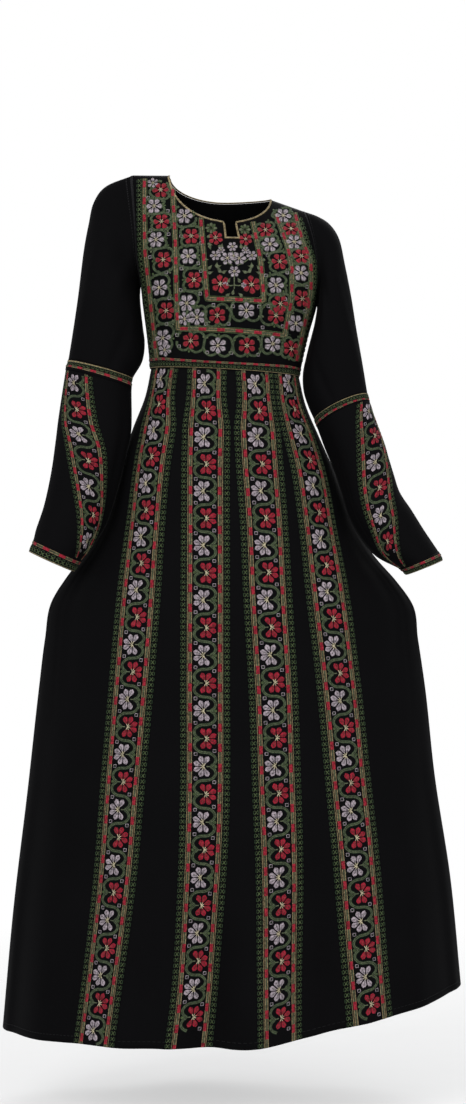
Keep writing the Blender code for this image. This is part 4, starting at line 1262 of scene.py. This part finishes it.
def relief_material(name, group, dark, light, strength, distance, settings):
    """A material whose colour runs between two tones by its node group's shade, with its bump."""
    material = bpy.data.materials.new(name)
    material.use_nodes = True
    tree = material.node_tree
    shader = tree.nodes["Principled BSDF"]
    coords = tree.nodes.new("ShaderNodeTexCoord")
    relief = tree.nodes.new("ShaderNodeGroup")
    relief.node_tree = group
    tree.links.new(coords.outputs["UV"], relief.inputs["Place"])
    tree.links.new(coords.outputs["Object"], relief.inputs["Object"])
    mix = tree.nodes.new("ShaderNodeMix")
    mix.data_type = "RGBA"
    mix.clamp_factor = True
    tree.links.new(relief.outputs["Shade"], mix.inputs["Factor"])
    mix.inputs["A"].default_value = (*dark, 1.0)
    mix.inputs["B"].default_value = (*light, 1.0)
    tree.links.new(mix.outputs["Result"], shader.inputs["Base Color"])
    bump = tree.nodes.new("ShaderNodeBump")
    bump.inputs["Strength"].default_value = strength
    bump.inputs["Distance"].default_value = distance
    tree.links.new(relief.outputs["Height"], bump.inputs["Height"])
    tree.links.new(bump.outputs["Normal"], shader.inputs["Normal"])
    for socket, value in settings.items():
        shader.inputs[socket].default_value = value
    return material


# Bumps of thread, crepe and floor: strength, and depth in metres
THREAD_BUMP = (0.70, 0.0006)
CREPE_BUMP = (0.35, 0.0004)
FLOOR_BUMP = (0.05, 0.0002)

# Shares of a colour that its dark and its light tone have. On threads the dark tone also takes the
# painted shade between the stitches.
DARK = 0.45
LIGHT = 1.50

# Threads mixed from two others, with the second one's share. Then how much paler than the cloth
# its seams are.
MIXED = {"wine": ("red", "green", 0.55), "mauve": ("white", "green", 0.72)}
SEAM_TONE = 3.0


def tones(colour):
    """Dark and light tone of a thread or cloth colour."""
    base = np.array(colour[:3])
    return tuple(base * DARK), tuple(np.minimum(base * LIGHT, 1.0))


def thread_colour(name):
    """Colour of a thread from the panel's settings, or from two of them, or from the cloth."""
    if name == "black":
        return np.array(looks().cloth) * SEAM_TONE
    if name in MIXED:
        first, second, share = MIXED[name]
        return thread_colour(first) * (1 - share) + thread_colour(second) * share
    return np.array(getattr(looks(), name))


def thread_material(name):
    """Embroidery thread of one colour: lustrous cotton with stitches side by side, painted darker
    in the gaps between them as shade.
    """
    label = f"{name}_thread"
    if label in bpy.data.materials:
        return bpy.data.materials[label]
    dark, light = tones(thread_colour(name))
    group = relief_group("thread_relief", thread_relief)
    return relief_material(label, group, dark, light, *THREAD_BUMP,
                           {"Roughness": 0.62, "Specular IOR Level": 0.20, "Sheen Weight": 0.04,
                            "Sheen Roughness": 0.4})


def cloth_material():
    """The dress's matt crepe."""
    label = "black_crepe"
    if label in bpy.data.materials:
        return bpy.data.materials[label]
    dark, light = tones(looks().cloth)
    group = relief_group("crepe_relief", crepe_relief)
    return relief_material(label, group, dark, light, *CREPE_BUMP,
                           {"Roughness": 0.80, "Specular IOR Level": 0.06, "Sheen Weight": 0.012,
                            "Sheen Roughness": 0.4})


# The add-on: settings, one operator for each group of pieces, and a panel

def colour_setting(name, description, value):
    """A colour property."""
    return FloatVectorProperty(name=name, description=description, default=value, subtype="COLOR",
                               size=3, min=0.0, max=1.0)


def number_setting(name, description, value, low, high, unit="LENGTH"):
    """A number property with its limits."""
    return FloatProperty(name=name, description=description, default=value, min=low, max=high,
                         unit=unit)


def count_setting(name, description):
    """A number of grid cells."""
    return IntProperty(name=name, description=description, default=150, min=60, max=200)


class ThobeLooks(bpy.types.PropertyGroup):
    """Sizes and colours of the dress's looks."""

    cloth: colour_setting("Cloth", "Colour of the crepe", CLOTH)
    red: colour_setting("Red thread", "Red flowers and dashes", RED)
    white: colour_setting("Pale thread", "Pale lilac flowers and squares", WHITE)
    sage: colour_setting("Sage thread", "Vines, stems and the middle of the dashed lines", SAGE)
    moss: colour_setting("Moss thread", "Cross stitches and leaves", MOSS)
    green: colour_setting("Dark green thread", "Edges of the vines and cross stitches", GREEN)
    gold: colour_setting("Gold thread", "Gold lines and the neck's binding", GOLD)
    cream: colour_setting("Cream thread", "Stars in the middle of the flowers", CREAM)
    cloth_thickness: number_setting("Cloth thickness", "Thickness of the crepe",
                                    0.0008, 0.0003, 0.0015)
    band_thickness: number_setting("Band thickness", "Thickness of the embroidered bands",
                                   0.0005, 0.0003, 0.0010)
    across_cells: count_setting("Cells across", "Cells across each skirt panel")
    down_cells: count_setting("Cells down", "Cells down each skirt panel")
    sheet_gap: number_setting("Band gap", "Gap between a panel and the band on it",
                              0.0003, 0.0001, 0.001)
    lamp_power: number_setting("Lamp power", "Strength of the main soft light",
                               95.0, 10.0, 1000.0, "POWER")
    room_light: number_setting("Room light", "Strength of the pale light from all round",
                               0.45, 0.1, 2.0, "NONE")


def looks():
    """The settings of the current scene."""
    return bpy.context.scene.thobe_looks


# Points of the dense grids, as rows and columns
FRONT_CELLS = (16, 22, 8, 22, 16)
FRONT_ROWS = (62, 11)
BACK_GRID = (73, 81)
STRIP_GRID = (281, 13)
TUBE_GRID = (73, 104)
SLEEVE_BAND_GRID = (145, 9)
SLEEVE_STRIP_GRID = (121, 11)
WAIST_GRID = (7, 141)

# The binding's profile in millimetres: out beyond the neck's edge, and over the cloth
BINDING_OUT = np.array([3.6, 3.2, 2.0, 0.8, 0.2]) * MM
BINDING_OVER = np.array([-0.3, 0.7, 1.2, 0.9, 0.2]) * MM

# How many rows of its table a sleeve's strips stay away from the elbow's and the cuff's seams
STRIP_IN = 1.03


def front_lines():
    """Columns and rows of the dense front bodice grid, with the notch's edges among them."""
    parts = [np.linspace(start, end, count, endpoint=False)
             for start, end, count in zip(BODICE_MARKS, BODICE_MARKS[1:], FRONT_CELLS)]
    places = np.concatenate(parts + [[1.0]])
    stop = notch_row()
    low, high = FRONT_ROWS
    rows = [np.linspace(0, stop, low, endpoint=False), np.linspace(stop, 1, high)]
    return places, np.concatenate(rows)


def bodice_grids():
    """Dense grids of the front and back bodice, from the shoulder down, and the notch's cells."""
    places, rows = front_lines()
    front = bodice_point(places, rows, "front")[::-1]
    start, end = BODICE_MARKS[2], BODICE_MARKS[3]
    middle = (places[1:] + places[:-1]) / 2
    high = ((rows[1:] + rows[:-1]) / 2)[::-1]
    notch = (high[:, None] > notch_row()) & (middle[None, :] > start) & (middle[None, :] < end)
    rows, cols = BACK_GRID
    back = bodice_point(np.linspace(0, 1, cols), np.linspace(0, 1, rows), "back")[::-1, ::-1]
    return front, notch, back


def binding_grid(front, back):
    """Rounded band along the neckline, round the notch and across the back, five points wide.

    Its path follows the panels' edges, its width runs away from the cloth, its top is a low arch.
    """
    places, rows = front_lines()
    front_out, back_out = normals(front), normals(back)
    cols = [int(np.argmin(np.abs(places - mark))) for mark in BODICE_MARKS[1:5]]
    deep = int(np.argmin(np.abs(rows[::-1] - notch_row())))
    path = [(0, j) for j in range(cols[0], cols[1])]
    path += [(i, cols[1]) for i in range(deep)]
    path += [(deep, j) for j in range(cols[1], cols[2] + 1)]
    path += [(i, cols[2]) for i in range(deep - 1, -1, -1)]
    path += [(0, j) for j in range(cols[2] + 1, cols[3] + 1)]
    neck_start, neck_end = (int(back.shape[1] * BODICE_MARKS[mark]) for mark in (1, 4))
    behind = range(neck_start + 1, neck_end)
    edge = np.array([front[spot] for spot in path] + [back[0, j] for j in behind])
    lift = np.array([front_out[spot] for spot in path] + [back_out[0, j] for j in behind])
    run = np.roll(edge, -1, axis=0) - np.roll(edge, 1, axis=0)
    away = unit(np.cross(run, lift))
    return (edge[None] - BINDING_OUT[:, None, None] * away[None]
            + BINDING_OVER[:, None, None] * lift[None])


def skirt_grid(side):
    """Dense grid of a skirt panel."""
    down = np.linspace(0, 1, looks().down_cells + 1)
    across = np.linspace(0, 1, looks().across_cells + 1)
    across = across if side == "front" else across[::-1]
    return skirt_point(across[None, :], down[:, None], side)


def between(edges, count):
    """So many even places from one edge to the other, in each row of a pair of edges."""
    share = np.linspace(0, 1, count)[None, :]
    return edges[:, :1] * (1 - share) + edges[:, 1:] * share


def strip_grid(number):
    """Dense grid of one skirt strip, from waist to hem and from right to left."""
    down = np.linspace(0, 1, STRIP_GRID[0])
    places = between(strip_edges(down, number), STRIP_GRID[1])
    return skirt_point(places, down[:, None], "front")


def sleeve_rows(word, part):
    """Rows of the sleeve's table that the upper or the lower part covers."""
    last = len(SLEEVE_RIGHT if word == "right" else SLEEVE_LEFT) - 1
    elbow = float(ELBOW_ROW[word])
    return (0.0, elbow) if part == "upper" else (elbow, float(last))


def sleeve_tube(word, part):
    """Dense grid of an upper or lower sleeve. Its columns run so that the normals point outward."""
    start, end = sleeve_rows(word, part)
    rows, cols = TUBE_GRID
    turns = np.arange(cols) / cols + BACK_TURN
    grid = sleeve_point(word, np.linspace(start, end, rows), turns[None, :])
    return grid[:, ::-1] if word == "right" else grid


def sleeve_band_grid(word, part):
    """Dense grid of an elbow or cuff band: its rows run round the sleeve, its columns down it."""
    start, end = sleeve_rows(word, "lower")
    start, end = (start, start + 1) if part == "elbow" else (end - 1, end)
    rows, cols = SLEEVE_BAND_GRID
    turns = np.linspace(0, 1, rows) + BACK_TURN
    grid = sleeve_point(word, np.linspace(start, end, cols), turns[None, :]).transpose(1, 0, 2)
    return grid if word == "right" else grid[::-1]


def sleeve_strip_grid(word, strip):
    """Dense grid of a sleeve's flowered strip, between the elbow and cuff bands."""
    start, end = sleeve_rows(word, "lower")
    rows = np.linspace(start + STRIP_IN, end - STRIP_IN, SLEEVE_STRIP_GRID[0])
    turns = between(strip_turns(word, rows, strip), SLEEVE_STRIP_GRID[1])
    grid = sleeve_point(word, rows, turns)
    return grid[:, ::-1] if word == "right" else grid


def finish_cloth(thing, node):
    """Lets a cloth piece stand for its CAD node."""
    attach(thing, "root")
    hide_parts(node)


def band_shell(name, grid, node):
    """A band's own cloth just over its panel."""
    lift = looks().sheet_gap + looks().band_thickness
    thing = shell(name, grid + lift * normals(grid), cloth_material(), looks().band_thickness)
    finish_cloth(thing, node)
    return thing


class THOBE_OT_bodice(bpy.types.Operator):
    """Front and back bodice in crepe, and the rounded binding of the neck."""

    bl_idname = "thobe.bodice"
    bl_label = "Bodice and neck binding"

    def execute(self, context):
        front, notch, back = bodice_grids()
        thick = looks().cloth_thickness
        panel = shell("front_bodice_cloth", front, cloth_material(), thick, left_out=notch)
        finish_cloth(panel, "front_bodice")
        panel = shell("back_bodice_cloth", back, cloth_material(), thick)
        finish_cloth(panel, "back_bodice")
        binding = binding_grid(front, back)
        band = shell("neck_binding_cloth", binding, thread_material("gold"), thick, closed=True)
        finish_cloth(band, "neck_binding")
        return {"FINISHED"}


class THOBE_OT_skirt(bpy.types.Operator):
    """Front and back skirt in crepe, with folds and creases that fall to the hem."""

    bl_idname = "thobe.skirt"
    bl_label = "Skirt"

    def execute(self, context):
        for side, area in (("front", 0.76), ("back", 0.77)):
            panel = shell(f"{side}_skirt_cloth", skirt_grid(side), cloth_material(),
                          looks().cloth_thickness)
            finish_cloth(panel, f"{side}_skirt")
        return {"FINISHED"}


class THOBE_OT_sleeves(bpy.types.Operator):
    """Upper and lower sleeves in crepe, creased at the elbows."""

    bl_idname = "thobe.sleeves"
    bl_label = "Sleeves"

    def execute(self, context):
        for word in ("right", "left"):
            for part in ("upper", "lower"):
                tube = shell(f"{part}_sleeve_{word}_cloth", sleeve_tube(word, part),
                             cloth_material(), looks().cloth_thickness, closed=True)
                finish_cloth(tube, f"{part}_sleeve_{word}")
        return {"FINISHED"}


class THOBE_OT_skirt_strips(bpy.types.Operator):
    """The four flowered strips of the front skirt: their cloth and all their threads."""

    bl_idname = "thobe.skirt_strips"
    bl_label = "Skirt strips"

    def execute(self, context):
        for number, first in enumerate(FIRST_FLOWERS):
            grid = strip_grid(number)
            name = f"skirt_band_{number + 1}"
            band = band_shell(f"{name}_cloth", grid, name)
            place, length = strip_place(grid, STRIP_HALF)
            yarns = Yarns(place)
            strip_embroidery(yarns, length, first)
            yarns.build(name, "embroidered_strip")
        return {"FINISHED"}


class THOBE_OT_sleeve_strips(bpy.types.Operator):
    """The two flowered strips of each lower sleeve."""

    bl_idname = "thobe.sleeve_strips"
    bl_label = "Sleeve strips"

    def execute(self, context):
        for word in ("right", "left"):
            for strip in ("front", "side"):
                grid = sleeve_strip_grid(word, strip)
                name = f"sleeve_{strip}_band_{word}"
                band = band_shell(f"{name}_cloth", grid, name)
                place, length = strip_place(grid, SLEEVE_EDGE)
                yarns = Yarns(place)
                strip_embroidery(yarns, length, SLEEVE_FIRST, SLEEVE_EDGE, SLEEVE_PITCH)
                yarns.build(name, "embroidered_strip")
        return {"FINISHED"}


class THOBE_OT_narrow_bands(bpy.types.Operator):
    """Waist band, elbow bands and cuff bands: rows of cross stitches and dashed lines."""

    bl_idname = "thobe.narrow_bands"
    bl_label = "Waist, elbow and cuff bands"

    def execute(self, context):
        rows = np.linspace(0, BODICE_LOW[1], WAIST_GRID[0])
        grid = bodice_point(np.linspace(0, 1, WAIST_GRID[1]), rows, "front")
        grid = grid[::-1].transpose(1, 0, 2)[::-1]
        self.band(grid, "waist_band", (0.31, 0.017), WAIST_CHART)
        for word in ("right", "left"):
            grid = sleeve_band_grid(word, "elbow")
            self.band(grid, f"elbow_band_{word}", (0.31, 0.016), ELBOW_CHART)
            grid = sleeve_band_grid(word, "cuff")
            self.band(grid, f"cuff_band_{word}", (0.275, 0.018), CUFF_CHART)
        return {"FINISHED"}

    def band(self, grid, name, flat, chart):
        """One band's cloth and threads."""
        cloth = band_shell(f"{name}_cloth", grid, name)
        place, length = strip_place(grid, BAND_HALF)
        yarns = Yarns(place)
        band_embroidery(yarns, length, *chart)
        yarns.build(name, "embroidered_band")


class THOBE_OT_chest(bpy.types.Operator):
    """The embroidery of the chest panel."""

    bl_idname = "thobe.chest"
    bl_label = "Chest embroidery"

    def execute(self, context):
        yarns = Yarns(chest_place)
        chest_embroidery(yarns)
        yarns.build("chest", "embroidered_panel")
        return {"FINISHED"}


class THOBE_OT_stitching(bpy.types.Operator):
    """Seams and stitched edges of the plain cloth: hem, skirt, waist, back, armholes, sleeves."""

    bl_idname = "thobe.stitching"
    bl_label = "Seams and hem"

    def execute(self, context):
        for side in ("front", "back"):
            grid = skirt_grid(side)
            half = half_width(grid)
            place, length = strip_place(grid, half)
            yarns = Yarns(place)
            hem = length - HEM_DEEP
            stitched_line(yarns, (-half, hem), (half, hem), HEM_STITCH, HEM_PITCH)
            if side == "back":
                seam_ridge(yarns, (-half, RIDGE_IN), (half, RIDGE_IN))
                stitched_line(yarns, (-half, STITCHED_IN), (half, STITCHED_IN))
            yarns.build(f"{side}_skirt", "crepe")
        self.side_seams()
        _, _, back = bodice_grids()
        half = half_width(back)
        place, length = strip_place(back, half)
        yarns = Yarns(place)
        for sign in (-1, 1):
            side = sign * (half - BACK_RIDGE_IN)
            seam_ridge(yarns, (side, 1.0), (side, length - 1.0))
            side = sign * (half - STITCHED_IN)
            stitched_line(yarns, (side, 2.0), (side, length - 2.0))
        yarns.build("back_bodice", "crepe")
        for word in ("right", "left"):
            for part in ("upper", "lower"):
                self.sleeve(word, part)
        return {"FINISHED"}

    def side_seams(self):
        """A low ridge over each side seam of the skirt, from one panel across to the other."""
        front, back = skirt_grid("front"), skirt_grid("back")
        front_out, back_out = normals(front) * MM, normals(back) * MM
        for word, edge, other, inner, beyond in (("right", 0, -1, 1, -2), ("left", -1, 0, -2, 1)):
            near, far = front[:, edge], back[:, other]
            near_out, far_out = front_out[:, edge], back_out[:, other]
            grid = np.stack([near * 0.65 + front[:, inner] * 0.35 + SIDE_FOOT * near_out,
                             near + SIDE_RIDGE * near_out,
                             far + SIDE_RIDGE * far_out,
                             far * 0.65 + back[:, beyond] * 0.35 + SIDE_FOOT * far_out], axis=1)
            if (normals(grid)[:, 1] * near_out).sum() < 0:
                grid = grid[:, ::-1]
            shape = grid.shape[:2]
            along = np.broadcast_to(np.linspace(0, SIDE_LONG, shape[0])[:, None], shape)
            side = np.broadcast_to(np.arange(4.0) * SIDE_STEP, shape)
            seam = woven(f"side_seam_{word}", [(grid[None], along[None], side[None])],
                         thread_material("black"))
            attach(seam, "root")

    def sleeve(self, word, part):
        """The underarm seam of one part of a sleeve, and the armhole seam of the upper one."""
        grid = sleeve_tube(word, part)
        under = int(np.abs(grid[..., 0]).mean(axis=0).argmin())
        grid = np.roll(grid, grid.shape[1] // 2 - under, axis=1)
        grid = np.concatenate([grid, grid[:, :1]], axis=1)
        half = half_width(grid)
        place, length = strip_place(grid, half)
        yarns = Yarns(place)
        seam_ridge(yarns, (0.0, 1.0), (0.0, length - 1.0))
        if part == "upper":
            seam_ridge(yarns, (-half, RIDGE_IN), (half, RIDGE_IN), ARMHOLE_RIDGE)
            stitched_line(yarns, (-half, STITCHED_IN), (half, STITCHED_IN))
        else:
            stitched_line(yarns, (-half, length - RIDGE_IN), (half, length - RIDGE_IN))
        yarns.build(f"{part}_sleeve_{word}", "crepe")


# Lights: name, place, size and share of the main light's power. Then what they are turned to.
LAMPS = (("Main light", (-2.0, -3.4, 1.2), 2.4, 1.0), ("Fill light", (2.4, -3.0, 0.4), 2.4, 0.6),
         ("Back light", (0.6, 2.6, 1.8), 2.0, 0.5))
LAMP_AIM = (0.0, 0.0, -0.6)
ROOM_COLOUR = (0.96, 0.97, 1.0, 1.0)
SEEN_COLOUR = (1.0, 1.0, 1.0, 1.0)

# The camera is level and looks straight at the dress's front
CAMERA_PLACE = (0.005, -4.5, -0.593)
CAMERA_LENS = 90.0
CAMERA_SENSOR = 36.0

# The floor: its height and reach in metres, its two tones, and its fade to clear
FLOOR_LEVEL = -1.487
FLOOR_REACH = 2.6
FLOOR_POINTS = 9
FLOOR_TONES = ((0.92, 0.92, 0.92), (0.98, 0.98, 0.98))
FADE_START = 1.2
FLOOR_COVER = 0.6


class THOBE_OT_stage(bpy.types.Operator):
    """Pale floor that fades out round the dress, white all round it, soft lights and the camera."""

    bl_idname = "thobe.stage"
    bl_label = "Stage, lights and camera"

    def execute(self, context):
        floor = self.floor()
        for name, place, size, share in LAMPS:
            self.lamp(name, place, size, looks().lamp_power * share)
        world = bpy.data.worlds.new("Pale room")
        world.use_nodes = True
        ground = world.node_tree.nodes["Background"]
        ground.inputs["Color"].default_value = ROOM_COLOUR
        ground.inputs["Strength"].default_value = looks().room_light
        self.white_behind(world.node_tree, ground)
        context.scene.world = world
        context.scene.view_settings.view_transform = "Standard"
        data = bpy.data.cameras.new("Camera")
        data.lens = CAMERA_LENS
        data.sensor_width = CAMERA_SENSOR
        camera = bpy.data.objects.new("Camera", data)
        camera.location = CAMERA_PLACE
        camera.rotation_euler = (np.pi / 2, 0.0, 0.0)
        context.scene.collection.objects.link(camera)
        context.scene.camera = camera
        return {"FINISHED"}

    def white_behind(self, tree, ground):
        """The camera sees a whiter room than the one that lights the dress."""
        path = tree.nodes.new("ShaderNodeLightPath")
        seen = tree.nodes.new("ShaderNodeBackground")
        seen.inputs["Color"].default_value = SEEN_COLOUR
        seen.inputs["Strength"].default_value = 1.0
        mix = tree.nodes.new("ShaderNodeMixShader")
        tree.links.new(path.outputs["Is Camera Ray"], mix.inputs[0])
        tree.links.new(ground.outputs[0], mix.inputs[1])
        tree.links.new(seen.outputs[0], mix.inputs[2])
        tree.links.new(mix.outputs[0], tree.nodes["World Output"].inputs["Surface"])

    def floor(self):
        """A square floor under the dress, pale in the middle and clear beyond a round rim."""
        line = np.linspace(-FLOOR_REACH, FLOOR_REACH, FLOOR_POINTS)
        grid = stack(line[None, :], line[:, None], FLOOR_LEVEL)
        group = relief_group("crepe_relief", crepe_relief)
        material = relief_material("pale_floor", group, *FLOOR_TONES, *FLOOR_BUMP,
                                   {"Roughness": 0.8})
        tree = material.node_tree
        coords = next(node for node in tree.nodes if node.bl_idname == "ShaderNodeTexCoord")
        away = tree.nodes.new("ShaderNodeVectorMath")
        away.operation = "LENGTH"
        tree.links.new(coords.outputs["Object"], away.inputs[0])
        fade = tree.nodes.new("ShaderNodeMapRange")
        for label, value in (("From Min", FADE_START), ("From Max", FLOOR_REACH),
                             ("To Min", FLOOR_COVER), ("To Max", 0.0)):
            fade.inputs[label].default_value = value
        tree.links.new(away.outputs["Value"], fade.inputs["Value"])
        shader = tree.nodes["Principled BSDF"]
        tree.links.new(fade.outputs["Result"], shader.inputs["Alpha"])
        faces = quads(1, FLOOR_POINTS, FLOOR_POINTS, 0)[:, ::-1]
        thing = mesh_object("floor", grid.reshape(-1, 3), faces, material)
        put_uv(thing.data, grid.reshape(-1, 3)[:, :2])
        return thing

    def lamp(self, name, place, size, power):
        """A square soft light turned to the middle of the dress."""
        data = bpy.data.lights.new(name, "AREA")
        data.shape = "SQUARE"
        data.size = size
        data.energy = power
        lamp = bpy.data.objects.new(name, data)
        lamp.location = place
        aim = np.array(LAMP_AIM) - np.array(place)
        lamp.rotation_euler = (np.pi / 2 + np.arctan2(aim[2], np.hypot(aim[0], aim[1])), 0.0,
                               np.arctan2(aim[1], aim[0]) - np.pi / 2)
        bpy.context.scene.collection.objects.link(lamp)


class THOBE_PT_panel(bpy.types.Panel):
    """Sidebar panel with the dress's settings and one button for each operator."""

    bl_idname = "THOBE_PT_panel"
    bl_label = "Embroidered thobe"
    bl_space_type = "VIEW_3D"
    bl_region_type = "UI"
    bl_category = "Thobe"

    def draw(self, context):
        settings = context.scene.thobe_looks
        for name in settings.bl_rna.properties.keys():
            if name not in ("rna_type", "name"):
                self.layout.prop(settings, name)
        for operator in OPERATORS:
            self.layout.operator(operator.bl_idname)


OPERATORS = (THOBE_OT_bodice, THOBE_OT_skirt, THOBE_OT_sleeves, THOBE_OT_skirt_strips,
             THOBE_OT_sleeve_strips, THOBE_OT_narrow_bands, THOBE_OT_chest, THOBE_OT_stitching,
             THOBE_OT_stage)
CLASSES = (ThobeLooks, *OPERATORS, THOBE_PT_panel)


def register():
    """Adds the classes and the settings to Blender."""
    for item in CLASSES:
        bpy.utils.register_class(item)
    bpy.types.Scene.thobe_looks = PointerProperty(type=ThobeLooks)


def unregister():
    """Takes the settings and the classes away again."""
    del bpy.types.Scene.thobe_looks
    for item in reversed(CLASSES):
        bpy.utils.unregister_class(item)


def main():
    """Builds everything."""
    register()
    bpy.ops.thobe.bodice()
    bpy.ops.thobe.skirt()
    bpy.ops.thobe.sleeves()
    bpy.ops.thobe.skirt_strips()
    bpy.ops.thobe.sleeve_strips()
    bpy.ops.thobe.narrow_bands()
    bpy.ops.thobe.chest()
    bpy.ops.thobe.stitching()
    bpy.ops.thobe.stage()
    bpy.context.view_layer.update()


if __name__ == "__main__":
    main()
